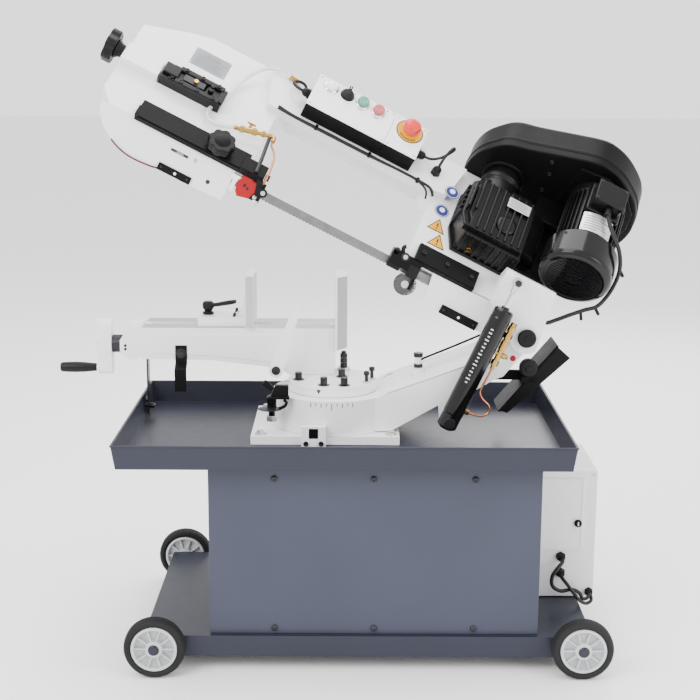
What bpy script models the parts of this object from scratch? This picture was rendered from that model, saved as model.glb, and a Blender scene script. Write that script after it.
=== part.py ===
"""Horizontal band saw on a wheeled cabinet, with an inclined bow, a swivel arm, a vise and a feed cylinder.

Lengths below are millimetres in the design frame: x to the right of the machine, y to the rear,
z up from the floor, with the blade's cutting plane at y = 0. The bow and everything on it are built
in the bow's own frame (x along the bow, z square to it) or in the wheels' inclined frame, where
x runs along the bow, w is up and back at 45 degrees and m is the band wheels' axis, up and forward.
"""

import math

import bmesh
import bpy
from mathutils import Matrix, Vector

MM = 0.001
GAP = 0.3

# driving dimensions
FRAME_SHIFT = (-2.9, 14.3, 0.0)  # puts the origin under the middle of the whole machine
WHEEL_R, WHEEL_W = 63.5, 36.0  # 5 in transport wheels
WHEEL_X = (-399.0, 482.0)
WHEEL_Y = (-299.5, 245.0)
TRAY_Z0, TRAY_Z1 = 445.3, 496.0
SWIVEL = (-38.0, 0.0)
PIVOT = (374.0, 0.0, 673.0)  # bow hinge
BOW_TILT = 27.0  # raised, as stored
INCLINE = 45.0  # band wheels' plane
INC_O = (0.0, 99.0, 102.5)  # wheel centres in the bow frame
R_BAND = 139.4  # band wheel, under a 0.9 mm blade
IDLER_X, DRIVE_X = -877.0, -136.0  # 741 apart, for a 2362 x 20 x 0.9 blade
BLADE_W, BLADE_T = 20.0, 0.9
THROAT = (-685.0, -301.0)
PLATE_M = (18.0, 34.0)
BEAM_W = (66.0, 165.0)
SCREW_Y, SCREW_Z = 89.5, 621.0  # vise screw
CYL_LOW = (210.0, -122.0, 499.0)
ROD_END = (-79.0, -122.0, 98.0)  # in the bow frame
MOTOR_X, MOTOR_M = 32.0, 150.0
WORM_X, WORM_M = -172.0, 66.0

for ob in list(bpy.data.objects):
    bpy.data.objects.remove(ob, do_unlink=True)


def collection(name, hidden=False):
    c = bpy.data.collections.new(name)
    bpy.context.scene.collection.children.link(c)
    c.hide_render = hidden
    return c


PARTS = collection("horizontal_band_saw")
CUTTERS = collection("cutters", True)
ROOM = bpy.context.scene.collection


def material(name, colour, rough, metal=0.0):
    m = bpy.data.materials.new(name)
    m.use_nodes = True
    p = m.node_tree.nodes["Principled BSDF"]
    p.inputs["Base Color"].default_value = (*colour, 1)
    p.inputs["Roughness"].default_value = rough
    p.inputs["Metallic"].default_value = metal
    return m


WHITE = ("white_paint", (0.80, 0.80, 0.81), 0.32)
SLATE = ("slate_paint", (0.10, 0.11, 0.15), 0.35)
SLATE2 = ("slate_panel", (0.15, 0.16, 0.20), 0.38)
GREYBOX = ("light_box", (0.72, 0.72, 0.73), 0.40)
BLACK = ("black_paint", (0.02, 0.02, 0.022), 0.40)
PLASTIC = ("black_plastic", (0.018, 0.018, 0.02), 0.50)
RUBBER = ("rubber", (0.02, 0.02, 0.02), 0.80)
STEEL = ("steel", (0.60, 0.60, 0.61), 0.25, 1.0)
BRASS = ("brass", (0.75, 0.55, 0.25), 0.28, 1.0)
RED = ("red_paint", (0.65, 0.02, 0.03), 0.38)
GREEN = ("green_cap", (0.10, 0.50, 0.30), 0.40)


# ---------------------------------------------------------------- shapes
def new(name, mesh):
    ob = bpy.data.objects.new(name, mesh)
    ROOM.objects.link(ob)
    return ob


def from_bm(bm, matrix=None):
    if matrix is not None:
        bm.transform(matrix)
    bm.transform(Matrix.Scale(MM, 4))
    me = bpy.data.meshes.new("m")
    bm.to_mesh(me)
    bm.free()
    return new("m", me)


def box(x0, x1, y0, y1, z0, z1):
    bm = bmesh.new()
    bmesh.ops.create_cube(bm, size=1.0)
    size = Matrix.Diagonal((x1 - x0, y1 - y0, z1 - z0, 1.0))
    return from_bm(
        bm, Matrix.Translation(((x0 + x1) / 2, (y0 + y1) / 2, (z0 + z1) / 2)) @ size
    )


def along(a, b):
    a, b = Vector(a), Vector(b)
    return Matrix.Translation((a + b) / 2) @ (b - a).to_track_quat("Z", "Y").to_matrix().to_4x4()


def cyl(a, b, r, n=24, r2=None):
    bm = bmesh.new()
    depth = (Vector(b) - Vector(a)).length
    bmesh.ops.create_cone(
        bm, cap_ends=True, segments=n, radius1=r, radius2=r if r2 is None else r2, depth=depth
    )
    return from_bm(bm, along(a, b))


def ball(c, r, u=16, v=10):
    bm = bmesh.new()
    bmesh.ops.create_uvsphere(bm, u_segments=u, v_segments=v, radius=r)
    return from_bm(bm, Matrix.Translation(c))


def evaluated(ob):
    bpy.context.view_layer.update()
    deps = bpy.context.evaluated_depsgraph_get()
    me = bpy.data.meshes.new_from_object(ob.evaluated_get(deps), depsgraph=deps)
    me.materials.clear()
    return me


def bake(ob, weld=None):
    """The object as an evaluated mesh, in place of its modifiers or its curve."""
    me = evaluated(ob)
    cutters = [m.object for m in getattr(ob, "modifiers", []) if m.type == "BOOLEAN"]
    out = new("m", me)
    me.transform(ob.matrix_world)
    bpy.data.objects.remove(ob, do_unlink=True)
    for c in cutters:
        bpy.data.objects.remove(c, do_unlink=True)
    if weld:
        bm = bmesh.new()
        bm.from_mesh(me)
        bmesh.ops.remove_doubles(bm, verts=bm.verts, dist=weld)
        bmesh.ops.recalc_face_normals(bm, faces=bm.faces)
        bm.to_mesh(me)
        bm.free()
    return out


# how a flat outline (u, v) and its thickness t lie in the frame
PLANES = {
    "xy": Matrix(((1, 0, 0, 0), (0, 1, 0, 0), (0, 0, 1, 0), (0, 0, 0, 1))),
    "xz": Matrix(((1, 0, 0, 0), (0, 0, -1, 0), (0, 1, 0, 0), (0, 0, 0, 1))),
    "yz": Matrix(((0, 0, 1, 0), (1, 0, 0, 0), (0, 1, 0, 0), (0, 0, 0, 1))),
}


def prism(plane, rings, lo, hi):
    """A flat outline, with holes if more than one ring is given, from lo to hi along the third axis."""
    if not isinstance(rings[0][0], (tuple, list)):
        rings = [rings]
    cu = bpy.data.curves.new("c", "CURVE")
    cu.dimensions, cu.fill_mode = "2D", "BOTH"
    for ring in rings:
        sp = cu.splines.new("POLY")
        sp.points.add(len(ring) - 1)
        for p, (u, v) in zip(sp.points, ring):
            p.co = (u * MM, v * MM, 0, 1)
        sp.use_cyclic_u = True
    cu.extrude = (hi - lo) / 2 * MM
    ob = new("c", cu)
    side = -1 if plane == "xz" else 1
    ob.matrix_world = PLANES[plane] @ Matrix.Translation((0, 0, side * (lo + hi) / 2 * MM))
    return bake(ob, weld=2e-5)


def tube(points, r, res=2):
    cu = bpy.data.curves.new("c", "CURVE")
    cu.dimensions = "3D"
    cu.bevel_depth, cu.bevel_resolution, cu.use_fill_caps = r * MM, res, True
    sp = cu.splines.new("POLY")
    sp.points.add(len(points) - 1)
    for p, co in zip(sp.points, points):
        p.co = (co[0] * MM, co[1] * MM, co[2] * MM, 1)
    return bake(new("c", cu), weld=1e-5)


def turned(profile, a, b, steps=32):
    """A closed (radius, height) profile, given down its outer side, turned about the line from a to b; height is counted from a."""
    bm = bmesh.new()
    vs = [bm.verts.new((r * MM, 0, h * MM)) for r, h in profile]
    closed = min(r for r, _ in profile) > 1e-6
    for p, q in zip(vs, vs[1:] + (vs[:1] if closed else [])):
        bm.edges.new((p, q))
    me = bpy.data.meshes.new("m")
    bm.to_mesh(me)
    bm.free()
    ob = new("m", me)
    sc = ob.modifiers.new("Screw", "SCREW")
    sc.axis, sc.steps, sc.render_steps = "Z", steps, steps
    sc.use_merge_vertices, sc.merge_threshold = True, 0.0001
    a, b = Vector(a), Vector(b)
    turn = (b - a).to_track_quat("Z", "Y").to_matrix().to_4x4()
    ob.matrix_world = Matrix.Translation(a * MM) @ turn
    return bake(ob, weld=1e-5)


def boolean(ob, other, operation):
    md = ob.modifiers.new("Boolean", "BOOLEAN")
    md.operation, md.object, md.solver = operation, other, "EXACT"


def union(first, *others):
    for o in others:
        boolean(first, o, "UNION")
        first = bake(first)
    return first


def minus(first, *cutters):
    for c in cutters:
        boolean(first, c, "DIFFERENCE")
    return bake(first)


def place(name, ob, look, parent, origin=(0, 0, 0), cutters=(), smooth=True):
    """Names a piece and hangs it on its frame with its origin at origin; cutters stay as live Boolean modifiers."""
    ob.name = ob.data.name = name
    shift = Matrix.Translation(-Vector(origin) * MM)
    ob.data.transform(shift)
    ob.parent = parent
    ob.location = Vector(origin) * MM
    for n, c in enumerate(cutters):
        c.name = f"{name}_cutter_{n}"
        c.data.transform(shift)
        c.parent = ob
        ROOM.objects.unlink(c)
        CUTTERS.objects.link(c)
        c.hide_render, c.display_type = True, "WIRE"
        boolean(ob, c, "DIFFERENCE")
    ROOM.objects.unlink(ob)
    PARTS.objects.link(ob)
    ob.data.materials.clear()
    ob.data.materials.append(bpy.data.materials.get(look[0]) or material(*look))
    if smooth:
        ob.data.shade_smooth()
        ob.data.set_sharp_from_angle(angle=math.radians(35))
    return ob


def empty(name, parent, at, turn=None):
    e = bpy.data.objects.new(name, None)
    ROOM.objects.link(e)
    e.parent = parent
    e.location = Vector(at) * MM
    if turn:
        e.rotation_euler = tuple(math.radians(a) for a in turn)
    return e


def arc(cx, cy, r, a0, a1, n):
    """n + 1 points on an arc, angles in degrees."""
    return [
        (
            cx + r * math.cos(math.radians(a0 + (a1 - a0) * i / n)),
            cy + r * math.sin(math.radians(a0 + (a1 - a0) * i / n)),
        )
        for i in range(n + 1)
    ]


ROOT = empty("root", None, FRAME_SHIFT)
ARM = empty("swivel_frame", ROOT, (0, 0, 0))
BOW = empty("bow_frame_axes", ARM, PIVOT, (0, BOW_TILT, 0))
INC = empty("incline_axes", BOW, INC_O, (INCLINE, 0, 0))


# ---------------------------------------------------------------- cabinet and base
def base():
    frame = box(-425, 507, -275, 220, 33, 78)
    axles = [cyl((x, -322, WHEEL_R), (x, 268, WHEEL_R), 8, 16) for x in WHEEL_X]
    frame = minus(frame, box(-421, 503, -271, 216, 30, 74))
    place("base_frame", union(frame, *axles), SLATE, ROOT)

    shell = minus(
        box(-288, 393.5, -258, 205, 78.3, 445),
        box(-285, 390.5, -270, 202, 81.3, 442),
    )
    place("cabinet", shell, SLATE, ROOT)
    panel = box(-288, 393.5, -261.5, -258.3, 78.3, 445)
    screws = [
        cyl((x, -264, z), (x, -260, z), 5.5, 12)
        for z, xs in ((414, (-153, 50, 257)), (91, (-154, 52, 259)))
        for x in xs
    ]
    place("front_panel", union(panel, *screws), SLATE2, ROOT)

    # the tray's walls lean out a little
    def pan(x0, x1, y0, y1, z0, z1, lean):
        bm = bmesh.new()
        bmesh.ops.create_cube(bm, size=1.0)
        for v in bm.verts:
            e = lean if v.co.z > 0 else 0
            v.co = (
                x0 - e if v.co.x < 0 else x1 + e,
                y0 - e if v.co.y < 0 else y1 + e,
                z0 if v.co.z < 0 else z1,
            )
        return from_bm(bm)

    tray = minus(
        pan(-468, 447, -308, 250, TRAY_Z0, TRAY_Z1, 7),
        pan(-465.5, 444.5, -305.5, 247.5, 448, 500, 7.1),
        cyl((237, -190, 446.8), (237, -190, 460), 40, 24),
    )
    place("chip_tray", tray, SLATE, ROOT)

    foot = box(-210, 106, -131, 135, 448.3, 466.5)
    post = cyl((*SWIVEL, 460), (*SWIVEL, 541.8), 45, 32)
    block = minus(box(-102, -50, -148, -130.5, 449, 492), box(-86, -66, -150, -142, 466, 488))
    place("base_casting", union(foot, post, block), WHITE, ROOT)

    # coolant tank and pump, inside the cabinet
    tank = minus(box(-250, 40, -180, 120, 82, 240), box(-247, 37, -177, 117, 85, 250))
    place("coolant_tank", tank, GREYBOX, ROOT)
    pump = union(
        cyl((-100, -30, 92), (-100, -30, 246), 30, 20),
        box(-150, -50, -178, 118, 240.3, 245),
        cyl((-100, -30, 244), (-100, -30, 390), 50, 24),
    )
    place("coolant_pump", pump, BLACK, ROOT)

    # electrical box on the cabinet's right side
    case = minus(box(393.8, 544, -55, 168, 80, 370), box(396, 542, -52, 166, 82, 368))
    door_hole = box(425, 512, -60, -50, 192, 350)
    place("electrical_box", case, GREYBOX, ROOT, cutters=(door_hole,))
    door = union(
        box(421, 516, -57.6, -55.3, 188, 354),
        cyl((421.5, -58.6, 188), (421.5, -58.6, 354), 2.5, 10),
        cyl((504, -62, 252), (504, -56, 252), 8, 16),
    )
    place("box_door", door, GREYBOX, ROOT, (421.5, -58.6, 270))


def wheels():
    for sx, x in zip(("left", "right"), WHEEL_X):
        for sy, y in zip(("front", "rear"), WHEEL_Y):
            h, r = WHEEL_W / 2, WHEEL_R
            a, b = (x, y - h, r), (x, y + h, r)
            t = WHEEL_W
            profile = [
                (r, t - 6), (r, 6), (r - 5, 0), (46, 0), (44, 8), (18, 8), (18, 1), (8.4, 1),
                (8.4, t - 1), (18, t - 1), (18, t - 8), (44, t - 8), (46, t), (r - 5, t),
            ]
            place(f"wheel_{sy}_{sx}", turned(profile, a, b, 20), RUBBER, ROOT, (x, y, r))


# ---------------------------------------------------------------- vise
def vise():
    side = [
        (-460, 599), (-460, 668.5), (-33, 668.5), (-33, 564.6), (-135, 564.6), (-150, 575),
        (-170, 581), (-300, 596),
    ]
    bed = prism("xz", side, 28, 151)
    nose = prism("xz", [(-512, 606), (-512, 636), (-490, 668), (-462, 668), (-455, 602), (-468, 600), (-490, 590)], 50, 129)
    bed = union(bed, nose)
    pin = cyl((-160, 40, 589), (-160, -42, 589), 8, 16)
    flange = cyl((*SWIVEL, 542.4), (*SWIVEL, 564.3), 97, 40)
    bed = minus(
        bed,
        box(-448, -45, 62, 117, 550, 652),
        box(-446, -47, 78, 101, 640, 690),
        cyl((-520, SCREW_Y, SCREW_Z), (-440, SCREW_Y, SCREW_Z), 9.6, 20),
    )
    bed = union(bed, pin)
    place("vise_bed", bed, WHITE, ROOT)
    place("bed_flange", flange, WHITE, ROOT)

    jaw = prism(
        "xy",
        [(-32.6, 14), (-28, 14), (-7, 40), (-7, 122), (-32.6, 122)],
        622, 786,
    )
    place("fixed_jaw", jaw, WHITE, ROOT)

    leg = prism(
        "xz",
        [(-462.5, 452), (-459, 452), (-459, 595), (-440, 595), (-440, 598.6), (-462.5, 598.6)],
        106, 134,
    )
    place("bed_leg", leg, BLACK, ROOT)
    strap = prism(
        "yz",
        [(27.7, 630), (27.7, 590), (8, 578), (8, 530), (5, 530), (5, 580), (24.5, 592), (24.5, 630)],
        -386, -360,
    )
    place("hook_strap", strap, BLACK, ROOT)

    screw = union(
        cyl((-566, SCREW_Y, SCREW_Z), (-62, SCREW_Y, SCREW_Z), 9, 20),
        cyl((-534, SCREW_Y, SCREW_Z), (-512.5, SCREW_Y, SCREW_Z), 20, 24),
    )
    at = (-550, SCREW_Y, SCREW_Z)
    place("vise_screw", screw, BLACK, ROOT, at)
    crank = prism(
        "yz",
        [
            (SCREW_Y - 15, 566), *arc(SCREW_Y, 566, 15, 180, 360, 8), (SCREW_Y + 19, SCREW_Z),
            *arc(SCREW_Y, 664, 15, 0, 180, 8), (SCREW_Y - 19, SCREW_Z),
        ][1:],
        -566.5, -534.5,
    )
    crank = minus(crank, cyl((-570, SCREW_Y, SCREW_Z), (-530, SCREW_Y, SCREW_Z), 9.3, 20))
    crank = union(crank, cyl((-570, SCREW_Y, 566), (-654, SCREW_Y, 566), 5, 12), cyl((-570, SCREW_Y, 566), (-566, SCREW_Y, 566), 10, 16))
    place("crank_arm", crank, WHITE, ROOT, at)
    grip = turned(
        [(11, 82), (12, 78), (12, 45), (10, 8), (8, 3), (7, 0), (5.4, 0), (5.4, 82)],
        (-572, SCREW_Y, 566), (-657, SCREW_Y, 566), 24,
    )
    place("crank_grip", grip, PLASTIC, ROOT, (-610, SCREW_Y, 566))

    # moving jaw: plate, gusset, foot, and the nut that hangs through the slot
    jaw = union(
        box(-338, -214, 50, 128, 668.9, 689),
        box(-230, -212, 20, 128, 668.9, 786),
        prism("xz", [(-230, 680), (-226, 770), (-244, 700), (-270, 680)], 70, 109),
        box(-320, -240, 79, 100, 630, 672),
    )
    jaw = minus(jaw, cyl((-345, SCREW_Y, SCREW_Z), (-200, SCREW_Y, SCREW_Z), 9.4, 20))
    place("moving_jaw", jaw, WHITE, ROOT)
    lever = union(
        cyl((-318, SCREW_Y, 689.4), (-318, SCREW_Y, 700), 8, 16),
        cyl((-318, SCREW_Y, 698), (-318, SCREW_Y, 718), 7, 16, 12),
        tube([(-318, SCREW_Y, 709), (-300, SCREW_Y - 8, 713), (-254, SCREW_Y - 32, 724)], 6, 2),
    )
    place("jaw_lever", lever, BLACK, ROOT, (-318, SCREW_Y, 705))

    flat = prism(
        "xz",
        [
            *arc(-160, 589, 16, 160, 340, 8),
            *arc(-116, 722, 8, -20, 160, 6),
        ],
        -41, -33,
    )
    flat = minus(flat, cyl((-160, -50, 589), (-160, -20, 589), 8.4, 16))
    place("vise_lever", flat, WHITE, ROOT, (-160, -37, 589))


# ---------------------------------------------------------------- swivel arm and feed cylinder
def arm():
    disc = cyl((*SWIVEL, 467), (*SWIVEL, 541.8), 130, 48)
    body = prism(
        "xz",
        [
            (-38, 467), (88, 469), (190, 527), (262, 556), (318, 590), (318, 625), (293, 628),
            (190, 590), (84, 552), (62, 541.8), (-38, 541.8),
        ],
        -92, 92,
    )
    ear = [(262, 556), (330, 582), (391, 655), *arc(374, 673, 24, -30, 150, 8), (318, 628), (270, 612)]
    ears = [prism("xz", ear, -56, -34), prism("xz", ear, 62, 84)]
    foot = prism("xz", [(186, 560), (192, 492), (204, 484), (222, 490), (262, 570)], -92, -70)
    pin = cyl((CYL_LOW[0], -75, CYL_LOW[2]), (CYL_LOW[0], -124, CYL_LOW[2]), 7, 16)
    boss = union(cyl((149, -12, 565), (149, -12, 592), 16, 20), cyl((149, -12, 585), (149, -12, 624), 7, 12))
    out = union(disc, body, *ears, foot, pin, boss)
    out = minus(
        out,
        cyl((*SWIVEL, 460), (*SWIVEL, 560), 45.4, 32),
        cyl((PIVOT[0], -70, PIVOT[2]), (PIVOT[0], 95, PIVOT[2]), 12.4, 20),
        box(300, 400, -33.5, 61.5, 600, 720),
    )
    place("swivel_arm", out, WHITE, ARM, (*SWIVEL, 500))

    shaft = union(
        cyl((PIVOT[0], -88, PIVOT[2]), (PIVOT[0], 108, PIVOT[2]), 12, 20),
        cyl((PIVOT[0], -92, PIVOT[2]), (PIVOT[0], -87.4, PIVOT[2]), 15, 24),
    )
    place("pivot_shaft", shaft, BLACK, ARM, PIVOT)

    # bent-sheet stop behind the pivot
    web = prism("xz", [(322, 503), (326, 500), (450, 646), (446, 650)], -48, 50)
    lip = prism("xz", [(325, 504.6), (342, 500), (474, 622), (448, 645)], -52, -46)
    stay = box(318.3, 384, 0, 6, 562, 584)
    place("raise_stop", union(web, lip, stay), BLACK, ARM, (380, 0, 560))

    lock = union(
        cyl((-166, -102, 502), (-166, -102, 532), 7, 12),
        cyl((-166, -102, 531), (-166, -102, 538), 17, 20),
        cyl((-166, -102, 537), (-166, -102, 556), 7, 12),
        tube([(-172, -103, 554), (-166, -102, 556), (-130, -112, 558)], 5, 2),
        prism("xz", [(-170, 556), (-130, 556), (-136, 584), (-164, 580)], -104, -99),
    )
    place("swivel_lock", lock, BLACK, ARM, (-166, -102, 530))


def cylinder():
    low = Vector(CYL_LOW)
    high = BOW.matrix_world @ (Vector(ROD_END) * MM) / MM - ROOT.matrix_world.translation / MM
    d = (high - low).normalized()

    def at(s):
        return low + d * s

    barrel = union(
        cyl(at(-16), at(266), 21.5, 32),
        cyl(at(258), at(272), 14, 20),
    )
    barrel = minus(
        barrel,
        cyl((low.x, -150, low.z), (low.x, -80, low.z), 7.4, 16),
        cyl(at(-5), at(280), 5.5, 16),
    )
    # the damping pin's bore opens into the rod's bore
    place("feed_cylinder", barrel, BLACK, ARM, low)
    length = (high - low).length
    rod = union(
        cyl(at(80), at(length - 4), 5, 16),
        cyl(high + Vector((0, -9, 0)), high + Vector((0, 9, 0)), 10, 20),
        cyl(high + Vector((0, -14, 0)), high + Vector((0, 13.4, 0)), 5, 14),
    )
    place("cylinder_rod", rod, STEEL, ARM, high)
    # needle valve on the barrel's flank
    side = Vector((d.z, 0, -d.x))
    o = side * 31.5
    valve = union(
        cyl(at(150) + o, at(236) + o, 7, 14),
        cyl(at(212) + o, at(226) + o, 9.5, 14),
        cyl(at(150) + o, at(160) + o, 9, 14),
        cyl(at(176) + side * 22, at(176) + side * 31, 6, 12),
        cyl(at(176) + side * 31, at(176) + side * 44, 4.5, 12),
    )
    place("feed_valve", valve, BRASS, ARM, at(190) + o)


# ---------------------------------------------------------------- bow
def outline(inset=0.0, right=0.0):
    """The bow's outline in (x, w), pulled in by inset."""
    e = inset
    r = 165 - e
    low = -172 if e > 5 else -135  # a hollow is open towards the blade
    return [
        *arc(DRIVE_X, 0, r, 62, -45, 13),
        (-60, low),
        (THROAT[1] + e, low),
        (THROAT[1] + e, 42 + e / 2),
        (THROAT[1] - 24 + e / 2, BEAM_W[0] + e),
        (THROAT[0] + 24 - e / 2, BEAM_W[0] + e),
        (THROAT[0] - e, 42 + e / 2),
        (THROAT[0] - e, low),
        (-1004 + e, low),
        (-1033 + e, -98),
        (-1033 + e, 106 - e * 0.5),
        (-937, 149 - e),
        (-887, BEAM_W[1] - e),
        (-200, BEAM_W[1] - e),
    ]


def bow():
    plate = prism("xy", outline(), -20, PLATE_M[1])
    hollow = prism("xy", outline(8.0), -30, PLATE_M[0])
    body = minus(plate, hollow)
    beam = prism(
        "xy",
        [(-740, 150), (-712, 52), (THROAT[0], 50), (THROAT[1], 50), (-272, 56), (-252, 150)],
        30, 54.5,
    )
    spine = box(-1033, -946, -26, 22, 30, 58)
    body = union(body, beam, spine)
    body = minus(
        body,
        box(-912, -842, -15, 15, 10, 60),
        cyl((DRIVE_X, 0, 10), (DRIVE_X, 0, 60), 14, 20),
        cyl((-1060, 0, 45), (-930, 0, 45), 6.6, 14),
        box(THROAT[0] - 20, THROAT[0] + 5, -150, -125, -15, 15),
        box(THROAT[1] - 5, THROAT[1] + 20, -150, -125, -15, 15),
    )
    # parts of the casting that stand square to the blade, in the bow frame
    turn = INC.matrix_local
    body.data.transform(turn)
    skirt = prism(
        "xz",
        [(-706, -44), (-860, -50), (-920, -49), (-962, -40), (-1000, -14), (-1018, 12), (-1020, 30.5), (-706, 30.5)],
        -20, -13,
    )
    lobe = prism(
        "xz",
        [(-105, 112), (-105, 34), (-62, -2), (-30, -26), *arc(0, 0, 36, -140, -30, 6), (27, 10), (10, 112)],
        -85, -60,
    )
    gusset = prism(
        "yz",
        [(-62, 36), (-62, 112), (-30, 108), (-4, 90), (12, 56), (-13, 27)],
        -100, 8,
    )
    lug = prism(
        "xz",
        [*arc(0, 0, 25, 110, 320, 8), (46, 10), (46, 128), (24.5, 128), (24.5, 26)],
        88, 104,
    )
    boss = cyl((ROD_END[0], -108, ROD_END[2]), (ROD_END[0], -80, ROD_END[2]), 15, 20)
    body = union(body, skirt, gusset, lobe, boss, lug)
    shaft = [
        cyl((0, -100, 0), (0, 115, 0), 12.5, 20),
    ]
    body = minus(body, *shaft)
    place("bow_frame", body, WHITE, BOW)

    # blade guard over the drive side, square to the blade
    cover = prism("xz", [(-234, 26), (-222, -43), (-62, -43), (-62, 26)], -24.6, -20.9)
    place("blade_cover", cover, WHITE, BOW)

    # rear cover over both band wheels
    rear = prism("xy", outline(4.0), -24.4, -20.4)
    knobs = [cyl((x, 0, -24), (x, 0, -40), 14, 14) for x in (IDLER_X, DRIVE_X)]
    place("wheel_cover", union(rear, *knobs), WHITE, INC)


def blade():
    """A closed ribbon round both wheels, a half-turn of 45 degrees between the wheels and the guides."""
    r = R_BAND + 0.4 + BLADE_T / 2
    stations = []  # (centre, width direction, thickness direction) in the inclined frame
    wide, out = Vector((0, 0, 1)), Vector((0, -1, 0))

    def cutting(x, f):
        a = math.radians(-45 * f)
        w = Vector((0, math.sin(-a), math.cos(a)))
        t = Vector((0, -math.cos(a), math.sin(-a)))
        return Vector((x, -r, 0)), w, t

    for n in range(6):
        stations.append(cutting(IDLER_X + (-690 - IDLER_X) * n / 5, n / 5))
    for n in range(6):
        stations.append(cutting(-300 + (DRIVE_X + 300) * n / 5, 1 - n / 5))
    for n in range(1, 20):
        a = math.radians(-90 + 180 * n / 20)
        u = Vector((math.cos(a), math.sin(a), 0))
        stations.append((Vector((DRIVE_X, 0, 0)) + u * r, wide, u))
    stations.append((Vector((DRIVE_X, r, 0)), wide, -out))
    stations.append((Vector((IDLER_X, r, 0)), wide, -out))
    for n in range(1, 20):
        a = math.radians(90 + 180 * n / 20)
        u = Vector((math.cos(a), math.sin(a), 0))
        stations.append((Vector((IDLER_X, 0, 0)) + u * r, wide, u))
    bm = bmesh.new()
    rings = []
    for c, w, t in stations:
        hw, ht = w * BLADE_W / 2, t * BLADE_T / 2
        rings.append([bm.verts.new(c + p) for p in (hw + ht, ht - hw, -hw - ht, hw - ht)])
    for a, b in zip(rings, rings[1:] + rings[:1]):
        for i in range(4):
            j = (i + 1) % 4
            bm.faces.new((a[i], b[i], b[j], a[j]))
    bmesh.ops.recalc_face_normals(bm, faces=bm.faces)
    place("blade", from_bm(bm), STEEL, INC)


def band_wheels():
    rim = R_BAND - 0.6
    idler = turned(
        [
            (rim, 11), (rim, -11), (127, -11), (127, -4), (30, -4), (30, -14), (10.6, -14),
            (10.6, 14), (30, 14), (30, 4), (127, 4), (127, 11),
        ],
        (IDLER_X, 0, 0), (IDLER_X, 0, 1), 28,
    )
    place("idler_wheel", idler, STEEL, INC, (IDLER_X, 0, 0))
    drive = turned(
        [
            (rim, 11), (rim, -11), (127, -11), (127, -4), (30, -4), (30, -14), (5, -14),
            (5, 62), (12, 62), (12, 14), (30, 14), (30, 4), (127, 4), (127, 11),
        ],
        (DRIVE_X, 0, 0), (DRIVE_X, 0, 1), 28,
    )
    place("drive_wheel", drive, STEEL, INC, (DRIVE_X, 0, 0))

    # tension block with the idler's axle, its screw and its star knob
    block = union(
        box(-943, -800, -24, 22, 34.8, 60),
        cyl((IDLER_X, 0, -15.5), (IDLER_X, 0, 40), 10.2, 20),
        cyl((IDLER_X, 0, -17.5), (IDLER_X, 0, -14.3), 16, 16),
        cyl((IDLER_X, 0, 14.4), (IDLER_X, 0, 40), 14, 20),
    )
    block = minus(block, box(-880, -842, -10, 8, 52, 70), cyl((-960, 0, 45), (-900, 0, 45), 6.4, 14))
    place("tension_block", block, BLACK, INC, (IDLER_X, 0, 0))
    star = []
    for n in range(24):
        r = 38 if n % 4 in (0, 1) else 31
        a = math.radians(15 * n)
        star.append((r * math.cos(a), 45 + r * math.sin(a)))
    knob = union(
        prism("yz", star, -1074, -1052),
        cyl((-1053, 0, 45), (-1036, 0, 45), 14, 20),
        cyl((-1037, 0, 45), (-902, 0, 45), 6, 14),
    )
    place("tension_knob", knob, PLASTIC, INC, (-1063, 0, 45))


def guides():
    bar = box(-944, -690, -143, -92, 34.4, 46.4)
    bar = minus(bar, box(-920, -752, -124, -112, 30, 50))
    bar = union(bar, box(-700, -646, -143, -110, 34.4, 56))
    bar.data.transform(INC.matrix_local)
    head = minus(
        box(-684, -646, -20, 14, -4, 34),
        box(-720, -640, -1.0, 1.0, -12, 16),
    )
    place("guide_bar_left", union(bar, head), BLACK, BOW, (-690, -10, 40))
    red = prism("xz", [(-704, 8), (-690, 24), (-650, 24), (-645, -10), (-682, -27)], -27, -20.4)
    place("red_guard", red, RED, BOW, (-690, -24, 10))
    knob = union(
        cyl((-758, -118, 46.8), (-758, -118, 74), 31, 24, 28),
        cyl((-758, -118, 34.4), (-758, -118, 50), 5, 12),
    )
    place("guide_knob", knob, PLASTIC, INC, (-758, -118, 60))

    right = box(-285, -141, -143, -94, 34.4, 46.4)
    right.data.transform(INC.matrix_local)
    head = minus(
        box(-332, -302, -22, 14, -4, 34),
        box(-350, -290, -1.0, 1.0, -12, 16),
    )
    link = box(-332, -262, -34, -20.9, 4, 36)
    hanger = box(-268, -262, -34, -28, -30, 20)
    place("guide_bracket_right", union(right, link, head, hanger), BLACK, BOW)
    brush = union(
        cyl((-276, -26, -24), (-276, -15, -24), 25, 24),
        cyl((-276, -27.6, -24), (-276, -25, -24), 8, 12),
    )
    place("chip_brush", brush, STEEL, BOW, (-276, -20, -24))


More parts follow.
